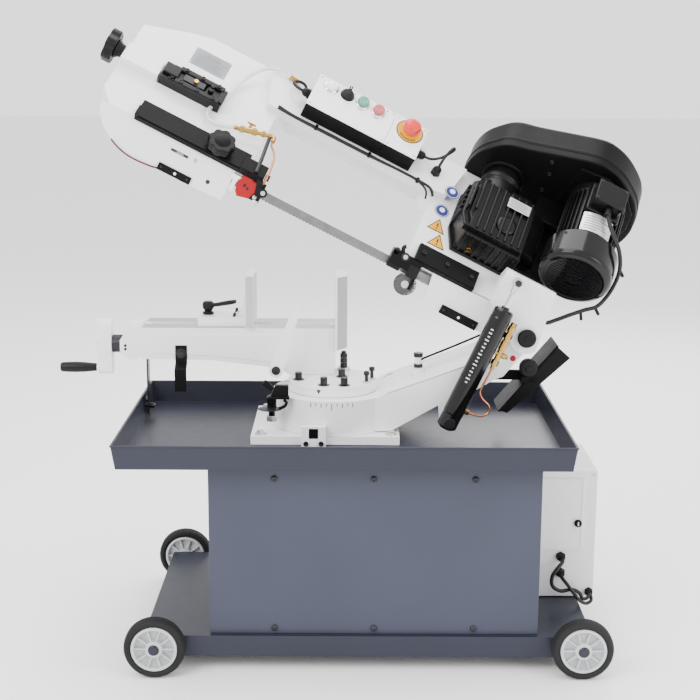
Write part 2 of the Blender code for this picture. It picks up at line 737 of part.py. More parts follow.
def drive():
    case = prism(
        "xy",
        [(-214, -60), (-78, -60), (-78, 88), (-100, 112), (-205, 112), (-236, 86), (-236, -10)],
        34.8, 118,
    )
    neck = cyl((WORM_X, 90, WORM_M + 8), (WORM_X, 165, WORM_M + 8), 38, 28)
    gear = union(case, neck)
    ribs = [box(x, x + 6, -62, 96, 116, 122) for x in range(-228, -84, 16)]
    # motor plate: a thick black shelf beside the case, which the motor's foot stands on
    shelf = prism("xy", [(-90, -52), (34, -52), (46, -30), (46, 70), (10, 158), (-90, 158)], 36, 62)
    gear = union(gear, shelf, *ribs)
    gear = minus(
        gear,
        cyl((DRIVE_X, 0, 30), (DRIVE_X, 0, 66), 13, 20),
        cyl((WORM_X, 80, WORM_M), (WORM_X, 180, WORM_M), 10.5, 16),
    )
    place("gearbox", gear, BLACK, INC)

    a = (MOTOR_X, -80, MOTOR_M)
    b = (MOTOR_X, 165, MOTOR_M)
    body = turned(
        [(62, 245), (66, 241), (66, 75), (80, 74), (80, 14), (72, 2), (64, 0), (10, 0), (10, 245)],
        a, b, 32,
    )
    terminal = box(MOTOR_X - 36, MOTOR_X + 34, 72, 132, MOTOR_M + 30, MOTOR_M + 95)
    place("motor", minus(union(body, terminal), cyl((MOTOR_X, -90, MOTOR_M), (MOTOR_X, 170, MOTOR_M), 10, 16)), BLACK, INC, b)
    pulley = union(
        cyl((MOTOR_X, -60, MOTOR_M), (MOTOR_X, 230, MOTOR_M), 9, 16),
        turned([(30, 28), (26, 20), (26, 12), (30, 4), (5, 4), (5, 28)], (MOTOR_X, 190, MOTOR_M), (MOTOR_X, 191, MOTOR_M), 28),
    )
    place("motor_shaft", pulley, STEEL, INC, (MOTOR_X, 200, MOTOR_M))
    worm = union(
        cyl((WORM_X, 95, WORM_M), (WORM_X, 230, WORM_M), 9.8, 16),
        turned([(60, 28), (56, 20), (56, 12), (60, 4), (5, 4), (5, 28)], (WORM_X, 190, WORM_M), (WORM_X, 191, WORM_M), 32),
    )
    place("worm_shaft", worm, STEEL, INC, (WORM_X, 200, WORM_M))

    # flat outlines in the (m, x) plane, turned about the shafts; "yz"-like planes are not needed,
    # because w is the second axis: build in (x, m) with the "xz" plane, whose third axis is w
    dx, dm = MOTOR_X - WORM_X, MOTOR_M - WORM_M
    beta = math.degrees(math.atan2(dm, dx))

    def loop(r0, r1, n=10):
        d = math.hypot(dx, dm)
        g = math.degrees(math.asin((r0 - r1) / d))
        return [
            *arc(WORM_X, WORM_M, r0, beta + 90 - g, beta + 270 + g, n),
            *arc(MOTOR_X, MOTOR_M, r1, beta - 90 + g, beta + 90 - g, n),
        ]

    belt = prism("xz", [loop(64.5, 34.5), loop(57.4, 27.4)], 202.8, 209.2)
    place("v_belt", belt, RUBBER, INC)

    shell = [
        (-205, 168), (-230, 140), (-252, 98), (-258, 50), (-250, 12), (-229, -14), (-202, -25),
        (70, -16), (104, -5), (128, 22), (138, 58), (139, 96), (133, 126), (118, 165), (94, 196),
        (52, 228), (12, 243), (-24, 242), (-90, 216), (-159, 186),
    ]
    cx = sum(p[0] for p in shell) / len(shell)
    cm = sum(p[1] for p in shell) / len(shell)

    def scaled(k):
        out = []
        for x, m in shell:
            v = Vector((x - cx, m - cm))
            v = v * (1 - k / v.length)
            out.append((cx + v.x, cm + v.y))
        return out

    plate = minus(
        prism("xz", shell, 165.6, 186),
        prism("xz", scaled(4), 170.6, 190),
        cyl((WORM_X, 160, WORM_M), (WORM_X, 180, WORM_M), 14, 20),
        cyl((MOTOR_X, 160, MOTOR_M), (MOTOR_X, 180, MOTOR_M), 14, 20),
    )
    place("belt_guard", plate, PLASTIC, INC)
    lid = minus(prism("xz", shell, 186.4, 250), prism("xz", scaled(4), 180, 246))
    place("belt_lid", lid, PLASTIC, INC, (-266, 186.4, 60))


def controls():
    face, seam = (-640.0, -373.0), -451.0
    case = minus(
        box(face[0], face[1], 63, 159, 55, 97.5),
        box(face[0] + 2.5, seam - 2, 65.5, 156.5, 58, 110),
        box(seam + 2, face[1] - 2.5, 65.5, 156.5, 58, 110),
    )
    place("control_box", case, BLACK, INC)
    spots = {"lamp": -606, "selector": -567, "start_button": -529, "stop_button": -491}
    panel = box(face[0], seam - 0.4, 63, 159, 97.9, 100)
    holes = [cyl((x, 138, 90), (x, 138, 110), 8.4, 16) for n, x in spots.items() if n != "lamp"]
    lamp = cyl((spots.pop("lamp"), 138, 99), (-606, 138, 108), 13, 20)
    place("control_panel", union(panel, lamp), WHITE, INC, cutters=holes)
    panel = box(seam + 0.4, face[1], 63, 159, 97.9, 100)
    place("estop_panel", panel, WHITE, INC, cutters=[cyl((-409, 128, 90), (-409, 128, 110), 8.4, 16)])
    looks = {"selector": BLACK, "start_button": GREEN, "stop_button": RED}
    for name, x in spots.items():
        foot = 100.4 if name == "selector" else 104.0
        b = union(
            cyl((x, 138, foot), (x, 138, 112), 13, 20),
            cyl((x, 138, 84), (x, 138, 108), 8, 14),
        )
        if name == "selector":
            b = union(b, box(x - 3.5, x + 3.5, 126, 150, 108, 119))
        place(name, b, looks[name], INC, (x, 138, 100))
    cap = union(
        cyl((-409, 128, 84), (-409, 128, 118), 8, 16),
        cyl((-409, 128, 114), (-409, 128, 130), 20, 24, 17),
    )
    place("estop_button", cap, RED, INC, (-409, 128, 110))


def cables():
    lead = tube(
        [
            (37, 71.4, 231), (38, 61, 230), (50, 34, 229), (68, 8, 228), (88, -14, 222), (111, -28, 189),
            (121, -40, 153), (120, -60, 129), (109, -86, 115), (90, -99, 103), (66, -116, 84),
            (46, -131, 67), (30, -144, 61), (20, -142, 62), (9, -142, 62),
        ],
        4.5, 1,
    )
    place("motor_cable", lead, RUBBER, INC)
    lead = tube(
        [(469, -60, 137), (471, -88, 128), (490, -98, 108), (514, -96, 92), (530, -84, 86), (534, -62, 92)],
        4, 1,
    )
    place("box_cable", lead, RUBBER, ROOT)


base()
wheels()
vise()
arm()
bpy.context.view_layer.update()
cylinder()
bow()
blade()
band_wheels()
guides()
drive()
controls()
cables()
bpy.context.view_layer.update()
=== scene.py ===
"""The looks of the horizontal band saw: finer castings, motor, gearbox, guard, wheels, controls,
fasteners, hoses and procedural finishes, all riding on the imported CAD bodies.

Lengths in the helpers are millimetres in the same three frames as the CAD source: the machine's
own frame, the bow's frame, and the band wheels' inclined frame (x along the bow, w, m).
"""

import math

import bmesh
import bpy
from mathutils import Matrix, Vector


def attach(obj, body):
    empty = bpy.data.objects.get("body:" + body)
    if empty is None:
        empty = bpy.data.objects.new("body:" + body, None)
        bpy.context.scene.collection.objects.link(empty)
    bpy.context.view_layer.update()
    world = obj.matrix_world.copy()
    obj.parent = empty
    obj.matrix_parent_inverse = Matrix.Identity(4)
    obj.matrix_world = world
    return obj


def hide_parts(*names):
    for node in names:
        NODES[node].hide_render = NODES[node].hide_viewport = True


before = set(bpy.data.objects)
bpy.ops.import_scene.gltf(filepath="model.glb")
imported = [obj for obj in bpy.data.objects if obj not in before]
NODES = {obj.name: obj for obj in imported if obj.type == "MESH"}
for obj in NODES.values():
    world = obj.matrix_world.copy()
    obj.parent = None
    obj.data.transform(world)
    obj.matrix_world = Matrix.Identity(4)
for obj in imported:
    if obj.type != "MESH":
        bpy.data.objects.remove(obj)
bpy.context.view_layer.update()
SCENE = bpy.context.scene

SHIFT = Vector((-2.9, 14.3, 0.0))
S = Matrix.Scale(0.001, 4)
ROOT = S @ Matrix.Translation(SHIFT)
BOW = ROOT @ Matrix.Translation((374.0, 0.0, 673.0)) @ Matrix.Rotation(math.radians(27), 4, "Y")
INC = BOW @ Matrix.Translation((0.0, 99.0, 102.5)) @ Matrix.Rotation(math.radians(45), 4, "X")

# ---------------------------------------------------------------- camera
cam = bpy.data.objects.new("camera", bpy.data.cameras.new("camera"))
SCENE.collection.objects.link(cam)
cam.data.lens, cam.data.sensor_width = 70.0, 36.0
cam.data.clip_start, cam.data.clip_end = 0.05, 60.0
cam.location = (Vector((0.0, -2915.0, 1238.5)) + SHIFT) * 0.001
cam.rotation_euler = (
    Matrix.Rotation(math.radians(90 - 11.85), 3, "X") @ Matrix.Rotation(math.radians(0.28), 3, "Z")
).to_euler()
SCENE.camera = cam


# ---------------------------------------------------------------- materials
class Look:
    """Builds one node material: colour with slow variation, roughness with wear, and a fine bump."""

    def __init__(self, name, colour, rough, metal=0.0, **k):
        m = self.m = bpy.data.materials.new(name)
        m.use_nodes = True
        self.t = m.node_tree
        self.p = self.t.nodes["Principled BSDF"]
        self.c = self.t.nodes.new("ShaderNodeTexCoord")
        self.p.inputs["Metallic"].default_value = metal
        if k.get("coat"):
            self.p.inputs["Coat Weight"].default_value = k["coat"]
            self.p.inputs["Coat Roughness"].default_value = k.get("coat_rough", 0.08)
        if k.get("spec") is not None:
            self.p.inputs["Specular IOR Level"].default_value = k["spec"]
        if k.get("clear"):
            self.p.inputs["Transmission Weight"].default_value = k["clear"]
            self.p.inputs["IOR"].default_value = 1.45
        if k.get("sss"):
            self.p.inputs["Subsurface Weight"].default_value = k["sss"]
            self.p.inputs["Subsurface Radius"].default_value = (0.004, 0.004, 0.004)
        vary = k.get("vary", 0.05)
        tint = k.get("tint")
        a = tuple(x * (1 - vary) for x in colour)
        b = tuple(min(1.0, x * (1 + vary)) for x in (tint or colour))
        n = self.noise(k.get("patch", 5.0), 3.0, stretch=k.get("stretch_patch"))
        r = self.ramp(n, (*a, 1), (*b, 1), 0.35, 0.65)
        self.t.links.new(r.outputs["Color"], self.p.inputs["Base Color"])
        dr = k.get("dr", 0.06)
        n2 = self.noise(k.get("rough_scale", 40.0), 4.0, stretch=k.get("stretch"))
        mr = self.t.nodes.new("ShaderNodeMapRange")
        mr.inputs["To Min"].default_value = max(0.03, rough - dr)
        mr.inputs["To Max"].default_value = min(1.0, rough + dr)
        self.t.links.new(n2.outputs["Fac"], mr.inputs["Value"])
        self.t.links.new(mr.outputs["Result"], self.p.inputs["Roughness"])
        self.bumps = None
        for scale, height, detail in k.get("bump", ()):
            self.bump(scale, height, detail, k.get("stretch"))

    def noise(self, scale, detail, stretch=None):
        n = self.t.nodes.new("ShaderNodeTexNoise")
        n.inputs["Scale"].default_value = scale
        n.inputs["Detail"].default_value = detail
        mp = self.t.nodes.new("ShaderNodeMapping")
        if stretch:
            mp.inputs["Scale"].default_value = stretch
        self.t.links.new(self.c.outputs["Object"], mp.inputs["Vector"])
        self.t.links.new(mp.outputs["Vector"], n.inputs["Vector"])
        return n

    def ramp(self, src, c0, c1, p0, p1):
        r = self.t.nodes.new("ShaderNodeValToRGB")
        e = r.color_ramp.elements
        e[0].position, e[0].color = p0, c0
        e[1].position, e[1].color = p1, c1
        self.t.links.new(src.outputs["Fac"], r.inputs["Fac"])
        return r

    def bump(self, scale, height, detail, stretch=None):
        n = self.noise(scale, detail, stretch)
        b = self.t.nodes.new("ShaderNodeBump")
        b.inputs["Strength"].default_value = 1.0
        b.inputs["Distance"].default_value = height
        self.t.links.new(n.outputs["Fac"], b.inputs["Height"])
        if self.bumps:
            self.t.links.new(self.bumps.outputs["Normal"], b.inputs["Normal"])
        self.t.links.new(b.outputs["Normal"], self.p.inputs["Normal"])
        self.bumps = b


PEEL = (700.0, 0.00004, 1.0)
WHITE = Look("white_cast_paint", (0.80, 0.80, 0.815), 0.30, coat=0.35, coat_rough=0.12, vary=0.02,
             bump=((260.0, 0.00022, 2.0), PEEL), dr=0.05).m
WHITE_SHEET = Look("white_sheet_paint", (0.83, 0.83, 0.84), 0.28, coat=0.4, coat_rough=0.08, vary=0.012,
                   bump=(PEEL,), dr=0.04).m
SLATE = Look("slate_powder_coat", (0.021, 0.0225, 0.036), 0.38, coat=0.06, coat_rough=0.18, vary=0.05, spec=0.22,
             bump=((520.0, 0.00008, 2.0),), dr=0.05).m
SLATE_PANEL = Look("slate_panel_coat", (0.040, 0.044, 0.066), 0.40, coat=0.05, coat_rough=0.18, vary=0.04, spec=0.22,
                   bump=((520.0, 0.00008, 2.0),), dr=0.05).m
GREY_BOX = Look("light_box_enamel", (0.74, 0.74, 0.75), 0.36, coat=0.25, vary=0.02, bump=((420.0, 0.0001, 2.0),)).m
BLACK = Look("black_cast_paint", (0.0035, 0.0035, 0.004), 0.34, coat=0.03, coat_rough=0.15, vary=0.25, spec=0.20,
             bump=((300.0, 0.0003, 3.0), PEEL), dr=0.08).m
GLOSS_BLACK = Look("black_gloss_paint", (0.003, 0.003, 0.0033), 0.16, coat=0.12, coat_rough=0.06, vary=0.2, spec=0.25,
                   bump=((160.0, 0.00006, 2.0),), dr=0.04).m
SATIN_BLACK = Look("black_sheet_paint", (0.003, 0.003, 0.0034), 0.42, vary=0.2, spec=0.12,
                   bump=((600.0, 0.00007, 2.0),), dr=0.07).m
GUARD = Look("black_guard_plastic", (0.003, 0.003, 0.0034), 0.40, vary=0.18, spec=0.10, bump=((900.0, 0.00012, 2.0),), dr=0.08).m
PLASTIC = Look("black_moulded_plastic", (0.0045, 0.0045, 0.005), 0.38, vary=0.2, spec=0.18, bump=((1100.0, 0.00008, 1.0),), dr=0.06).m
RUBBER = Look("tyre_rubber", (0.010, 0.010, 0.010), 0.72, vary=0.3, spec=0.25, bump=((500.0, 0.0002, 3.0),), dr=0.1).m
HUB_GREY = Look("hub_grey_plastic", (0.47, 0.48, 0.49), 0.42, vary=0.05, bump=((500.0, 0.0001, 2.0),)).m
CABLE = Look("cable_sheath", (0.008, 0.008, 0.009), 0.50, vary=0.2, spec=0.3, bump=((800.0, 0.00006, 1.0),)).m
STEEL = Look("machined_steel", (0.56, 0.56, 0.57), 0.28, 1.0, vary=0.08, rough_scale=60.0, stretch=(1, 1, 30),
             bump=((30.0, 0.00003, 2.0),), dr=0.1).m
GROUND = Look("ground_steel", (0.50, 0.50, 0.51), 0.36, 1.0, vary=0.07, stretch=(2, 60, 60), rough_scale=30.0,
              bump=((30.0, 0.00003, 2.0),), dr=0.1).m
BLADE_STEEL = Look("blade_steel", (0.20, 0.20, 0.205), 0.34, 1.0, vary=0.1, patch=60.0, stretch=(3, 80, 80),
                   bump=((40.0, 0.00003, 2.0),), dr=0.1).m
CHROME = Look("chromed_rod", (0.72, 0.72, 0.73), 0.09, 1.0, vary=0.02, dr=0.03).m
ZINC = Look("zinc_fastener", (0.60, 0.60, 0.58), 0.30, 1.0, vary=0.08, bump=((400.0, 0.00008, 2.0),)).m
BLACK_OXIDE = Look("black_oxide_fastener", (0.035, 0.035, 0.038), 0.36, 0.85, vary=0.2, bump=((500.0, 0.00008, 2.0),)).m
BRASS = Look("bright_brass", (0.50, 0.30, 0.085), 0.22, 1.0, vary=0.08, bump=((350.0, 0.00006, 2.0),)).m
COPPER = Look("copper_tube", (0.55, 0.20, 0.10), 0.26, 1.0, vary=0.08, bump=((200.0, 0.00005, 2.0),)).m
RED = Look("red_paint", (0.30, 0.0015, 0.004), 0.38, coat=0.08, spec=0.25, vary=0.06, bump=((500.0, 0.0001, 2.0),)).m
RED_CAP = Look("red_cap_plastic", (0.62, 0.016, 0.006), 0.30, coat=0.15, vary=0.03, bump=((900.0, 0.00003, 1.0),)).m
PINK_CAP = Look("stop_cap_plastic", (0.45, 0.085, 0.085), 0.34, coat=0.1, vary=0.04, bump=((900.0, 0.00003, 1.0),)).m
GREEN_CAP = Look("start_cap_plastic", (0.06, 0.27, 0.17), 0.34, coat=0.1, vary=0.04, bump=((900.0, 0.00003, 1.0),)).m
YELLOW = Look("yellow_label", (0.72, 0.34, 0.0), 0.42, spec=0.2, vary=0.03, bump=((900.0, 0.00002, 1.0),)).m
BLUE = Look("blue_label", (0.004, 0.016, 0.16), 0.34, vary=0.03, bump=((900.0, 0.00002, 1.0),)).m
LABEL_WHITE = Look("white_label", (0.86, 0.86, 0.86), 0.38, vary=0.02, bump=((900.0, 0.00002, 1.0),)).m
LABEL_BLACK = Look("black_label", (0.02, 0.02, 0.02), 0.36, vary=0.1, bump=((900.0, 0.00002, 1.0),)).m
SILVER = Look("silver_plate", (0.62, 0.63, 0.64), 0.34, 0.7, vary=0.04, stretch=(60, 2, 2), bump=((30.0, 0.00002, 1.0),)).m
PLATE_GREY = Look("data_plate_grey", (0.17, 0.175, 0.185), 0.34, 0.5, vary=0.04, bump=((500.0, 0.00003, 2.0),)).m
PLATE_INK = Look("plate_ink", (0.16, 0.16, 0.18), 0.45, vary=0.15).m
CLEAR = Look("clear_hose", (0.88, 0.88, 0.87), 0.18, clear=0.55, vary=0.02, dr=0.05).m
LAMP = Look("lamp_lens", (0.86, 0.86, 0.84), 0.22, sss=0.25, coat=0.5, vary=0.02, bump=((300.0, 0.0001, 1.0),)).m
BRISTLE = Look("wire_bristle", (0.10, 0.10, 0.105), 0.5, 0.6, vary=0.3, patch=400.0, bump=((900.0, 0.0006, 2.0),)).m
# near-black stand-in for painted shade inside holes, slots and gaps
PAINTED_SHADE = Look("painted_recess_shade", (0.012, 0.012, 0.013), 0.7, vary=0.2).m


# ---------------------------------------------------------------- shapes (bmesh, millimetres)
def soften(bm, w, seg=3, angle=28.0):
    if w <= 0:
        return bm
    bmesh.ops.recalc_face_normals(bm, faces=bm.faces)
    es = [e for e in bm.edges if len(e.link_faces) == 2 and e.calc_face_angle(0) > math.radians(angle)]
    bmesh.ops.bevel(bm, geom=es, offset=w, segments=seg, profile=0.5, affect="EDGES", clamp_overlap=True)
    return bm


def bx(x0, x1, y0, y1, z0, z1, b=0.8, seg=3):
    bm = bmesh.new()
    bmesh.ops.create_cube(bm, size=1.0)
    bm.transform(
        Matrix.Translation(((x0 + x1) / 2, (y0 + y1) / 2, (z0 + z1) / 2))
        @ Matrix.Diagonal((abs(x1 - x0), abs(y1 - y0), abs(z1 - z0), 1))
    )
    return soften(bm, b, seg)


def aim(a, b):
    a, b = Vector(a), Vector(b)
    return Matrix.Translation(a) @ (b - a).to_track_quat("Z", "Y").to_matrix().to_4x4()


def lathe(profile, a, b, n=48):
    """A (radius, height) profile turned about the line from a to b; ends at radius 0 close on the axis."""
    bm = bmesh.new()
    rings = []
    for r, h in profile:
        if r < 1e-6:
            rings.append([bm.verts.new((0, 0, h))])
        else:
            rings.append(
                [bm.verts.new((r * math.cos(2 * math.pi * i / n), r * math.sin(2 * math.pi * i / n), h)) for i in range(n)]
            )
    loop = list(zip(rings, rings[1:]))
    if len(rings[0]) > 1 and len(rings[-1]) > 1:
        loop.append((rings[-1], rings[0]))
    for p, q in loop:
        for i in range(n):
            j = (i + 1) % n
            if len(p) == 1:
                bm.faces.new((p[0], q[i], q[j]))
            elif len(q) == 1:
                bm.faces.new((p[i], q[0], p[j]))
            else:
                bm.faces.new((p[i], q[i], q[j], p[j]))
    bmesh.ops.recalc_face_normals(bm, faces=bm.faces)
    bm.transform(aim(a, b))
    return bm


def rounded(profile, w=0.6, n=3):
    """The profile with each inner corner turned into a small arc."""
    out = [profile[0]]
    for p, c, q in zip(profile, profile[1:], profile[2:]):
        p, c, q = Vector(p), Vector(c), Vector(q)
        u, v = p - c, q - c
        d = min(w, u.length * 0.45, v.length * 0.45)
        if d < 1e-4 or u.length < 1e-6 or v.length < 1e-6:
            out.append(tuple(c))
            continue
        a, b = c + u.normalized() * d, c + v.normalized() * d
        for k in range(n + 1):
            s = k / n
            out.append(tuple((a * (1 - s) ** 2) + (c * 2 * s * (1 - s)) + (b * s * s)))
    out.append(profile[-1])
    return out


def cy(a, b, r, n=40, e=0.5, r2=None):
    """A cylinder or cone from a to b with softened rims."""
    h = (Vector(b) - Vector(a)).length
    r2 = r if r2 is None else r2
    return lathe(rounded([(0, 0), (r, 0), (r2, h), (0, h)], e), a, b, n)


def hexa(a, b, r, e=0.5):
    """A hexagon bar, r across its corners' radius, with its ends dressed off."""
    bm = bmesh.new()
    h = (Vector(b) - Vector(a)).length
    bmesh.ops.create_cone(bm, cap_ends=True, segments=6, radius1=r, radius2=r, depth=h)
    bm.transform(Matrix.Translation((0, 0, h / 2)))
    soften(bm, e, 2)
    bm.transform(aim(a, b))
    return bm


def prism(plane, ring, lo, hi, b=0.0, seg=3, angle=28.0):
    """A flat outline from lo to hi along the third axis; b softens its edges."""
    bm = bmesh.new()
    place = {"xy": lambda u, v, t: (u, v, t), "xz": lambda u, v, t: (u, t, v), "yz": lambda u, v, t: (t, u, v)}[plane]
    low = [bm.verts.new(place(u, v, lo)) for u, v in ring]
    top = [bm.verts.new(place(u, v, hi)) for u, v in ring]
    bm.faces.new(low)
    bm.faces.new(top[::-1])
    n = len(ring)
    for i in range(n):
        j = (i + 1) % n
        bm.faces.new((low[i], top[i], top[j], low[j]))
    bmesh.ops.recalc_face_normals(bm, faces=bm.faces)
    return soften(bm, b, seg, angle)


def ribbon(plane, ring, lo, hi, wall):
    """An open-ended wall round a closed outline."""
    bm = bmesh.new()
    place = {"xy": lambda u, v, t: (u, v, t), "xz": lambda u, v, t: (u, t, v), "yz": lambda u, v, t: (t, u, v)}[plane]
    n = len(ring)
    pts = [Vector(p) for p in ring]
    inner = []
    area = sum(pts[i].x * pts[(i + 1) % n].y - pts[(i + 1) % n].x * pts[i].y for i in range(n))
    s = 1 if area > 0 else -1
    for i in range(n):
        d = (pts[(i + 1) % n] - pts[i - 1]).normalized()
        inner.append(pts[i] + Vector((-d.y, d.x)) * wall * s)
    rows = [
        [bm.verts.new(place(p.x, p.y, t)) for p in ps] for ps, t in ((pts, lo), (pts, hi), (inner, hi), (inner, lo))
    ]
    for a, b in zip(rows, rows[1:] + rows[:1]):
        for i in range(n):
            j = (i + 1) % n
            bm.faces.new((a[i], b[i], b[j], a[j]))
    bmesh.ops.recalc_face_normals(bm, faces=bm.faces)
    return bm


def smooth_path(points, step=4.0):
    """Points on a centripetal Catmull-Rom curve through the given points, about step apart."""
    P = [Vector(p) for p in points]
    P = [P[0] * 2 - P[1], *P, P[-1] * 2 - P[-2]]
    out = []
    for p0, p1, p2, p3 in zip(P, P[1:], P[2:], P[3:]):
        n = max(2, int((p2 - p1).length / step))
        t0 = 0.0
        t1 = t0 + max(1e-6, (p1 - p0).length) ** 0.5
        t2 = t1 + max(1e-6, (p2 - p1).length) ** 0.5
        t3 = t2 + max(1e-6, (p3 - p2).length) ** 0.5
        for i in range(n):
            t = t1 + (t2 - t1) * i / n
            a1 = p0 * ((t1 - t) / (t1 - t0)) + p1 * ((t - t0) / (t1 - t0))
            a2 = p1 * ((t2 - t) / (t2 - t1)) + p2 * ((t - t1) / (t2 - t1))
            a3 = p2 * ((t3 - t) / (t3 - t2)) + p3 * ((t - t2) / (t3 - t2))
            b1 = a1 * ((t2 - t) / (t2 - t0)) + a2 * ((t - t0) / (t2 - t0))
            b2 = a2 * ((t3 - t) / (t3 - t1)) + a3 * ((t - t1) / (t3 - t1))
            out.append(b1 * ((t2 - t) / (t2 - t1)) + b2 * ((t - t1) / (t2 - t1)))
    out.append(P[-2])
    return out


def sweep(points, r, n=14, curve=True, step=4.0, flat=1.0):
    """A round rod along the points with capped ends; r may be a list along the given path."""
    pts = smooth_path(points, step) if curve else [Vector(p) for p in points]
    bm = bmesh.new()
    rings = []
    d0 = (pts[1] - pts[0]).normalized()
    up = Vector((0, 0, 1)) if abs(d0.z) < 0.9 else Vector((1, 0, 0))
    side = d0.cross(up).normalized()
    for i, p in enumerate(pts):
        d = (pts[min(i + 1, len(pts) - 1)] - pts[max(i - 1, 0)]).normalized()
        side = (side - d * side.dot(d)).normalized()
        other = d.cross(side)
        f = i / (len(pts) - 1)
        rr = r if isinstance(r, (int, float)) else r[min(len(r) - 1, int(f * (len(r) - 1)))] * (
            1 - (f * (len(r) - 1)) % 1
        ) + r[min(len(r) - 1, int(f * (len(r) - 1)) + 1)] * ((f * (len(r) - 1)) % 1)
        rings.append(
            [
                bm.verts.new(p + (side * math.cos(2 * math.pi * k / n) + other * flat * math.sin(2 * math.pi * k / n)) * rr)
                for k in range(n)
            ]
        )
    for a, b in zip(rings, rings[1:]):
        for k in range(n):
            j = (k + 1) % n
            bm.faces.new((a[k], b[k], b[j], a[j]))
    bm.faces.new(rings[0][::-1])
    bm.faces.new(rings[-1])
    bmesh.ops.recalc_face_normals(bm, faces=bm.faces)
    return bm


def arc(cx, cy_, r, a0, a1, n):
    return [
        (cx + r * math.cos(math.radians(a0 + (a1 - a0) * i / n)), cy_ + r * math.sin(math.radians(a0 + (a1 - a0) * i / n)))
        for i in range(n + 1)
    ]


def socket_screw(a, d, r, h, hole=True):
    """Cap screw head: from a, along the unit direction d."""
    a, d = Vector(a), Vector(d)
    prof = [(0, 0), (r, 0), (r, h), (r * 0.62, h), (r * 0.55, h * 0.45), (0, h * 0.45)]
    return lathe(rounded(prof, r * 0.12), a, a + d, 24)


def hex_bolt(a, d, r, h, washer=True):
    """Hexagon head on a washer: a list of shapes."""
    a, d = Vector(a), Vector(d)
    out = []
    if washer:
        out.append(cy(a, a + d * 1.6, r * 1.45, 28, 0.4))
        a = a + d * 1.6
    out.append(hexa(a, a + d * h, r, r * 0.09))
    return out


def pan_screw(a, d, r, h):
    a, d = Vector(a), Vector(d)
    prof = [(0, 0), (r, 0), (r * 0.96, h * 0.45), (r * 0.75, h * 0.85), (r * 0.36, h), (r * 0.32, h * 0.4), (0, h * 0.4)]
    return lathe(rounded(prof, r * 0.1), a, a + d, 24)


def weighted(ob):
    md = ob.modifiers.new("Normals", "WEIGHTED_NORMAL")
    md.keep_sharp = True
    md.weight = 60


def make(name, body, M, parts, angle=40.0, stands=(), moved=None):
    """One piece from (shape or list of shapes, material) pairs, put in the frame M and hung on a body."""
    mats, bm = [], bmesh.new()
    for shapes, mat in parts:
        if mat not in mats:
            mats.append(mat)
        for shape in shapes if isinstance(shapes, (list, tuple)) else [shapes]:
            for f in shape.faces:
                f.material_index = mats.index(mat)
            me = bpy.data.meshes.new("t")
            shape.to_mesh(me)
            shape.free()
            bm.from_mesh(me)
            bpy.data.meshes.remove(me)
    if moved is not None:
        bm.transform(moved)
    bm.transform(M)
    me = bpy.data.meshes.new(name)
    bm.to_mesh(me)
    bm.free()
    for m in mats:
        me.materials.append(m)
    me.shade_smooth()
    me.set_sharp_from_angle(angle=math.radians(angle))
    ob = bpy.data.objects.new(name, me)
    SCENE.collection.objects.link(ob)
    weighted(ob)
    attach(ob, body)
    if stands:
        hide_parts(*stands)
    return ob


# ---------------------------------------------------------------- CAD nodes that stay, with finer edges and finishes
def finish_node(name, mat, bevel=0.8):
    ob = NODES[name]
    me = ob.data
    me.materials.clear()
    me.materials.append(mat)
    for a in ("custom_normal",):
        if a in me.attributes:
            me.attributes.remove(me.attributes[a])
    me.shade_smooth()
    w = ob.modifiers.new("Weld", "WELD")
    w.merge_threshold = 0.00002
    if bevel:
        b = ob.modifiers.new("Edges", "BEVEL")
        b.width, b.segments, b.limit_method = bevel * 0.001, 3, "ANGLE"
        b.angle_limit = math.radians(32)
        b.use_clamp_overlap = True
        b.miter_outer = "MITER_ARC"
    weighted(ob)


KEEP = {
    "base_casting": (WHITE, 1.2), "base_frame": (SLATE, 1.2), "bed_flange": (WHITE, 1.2), "bed_leg": (BLACK_OXIDE, 0.5),
    "blade_cover": (WHITE_SHEET, 0.8), "bow_frame": (WHITE, 1.2), "box_door": (GREY_BOX, 0.6),
    "cabinet": (SLATE, 0.8), "chip_tray": (SLATE, 0.6), "control_box": (SATIN_BLACK, 1.0),
    "coolant_pump": (BLACK, 0.8), "coolant_tank": (GREY_BOX, 0.8), "crank_arm": (WHITE, 2.5),
    "drive_wheel": (GROUND, 0.4), "idler_wheel": (GROUND, 0.4), "electrical_box": (GREY_BOX, 1.2),
    "front_panel": (SLATE_PANEL, 0.5), "guide_bar_left": (SATIN_BLACK, 0.6), "guide_bracket_right": (SATIN_BLACK, 0.6),
    "hook_strap": (SATIN_BLACK, 0.5), "motor_shaft": (STEEL, 0.4), "worm_shaft": (STEEL, 0.4),
    "moving_jaw": (WHITE, 1.5), "pivot_shaft": (BLACK_OXIDE, 0.6), "raise_stop": (SATIN_BLACK, 0.6),
    "swivel_arm": (WHITE, 1.6), "tension_block": (BLACK, 0.8), "v_belt": (RUBBER, 0.4),
    "vise_bed": (WHITE, 1.6), "vise_lever": (WHITE_SHEET, 1.5), "vise_screw": (BLACK_OXIDE, 0.6),
    "wheel_cover": (WHITE_SHEET, 0.8), "control_panel": (LABEL_WHITE, 0.3), "estop_panel": (LABEL_WHITE, 0.3),
}


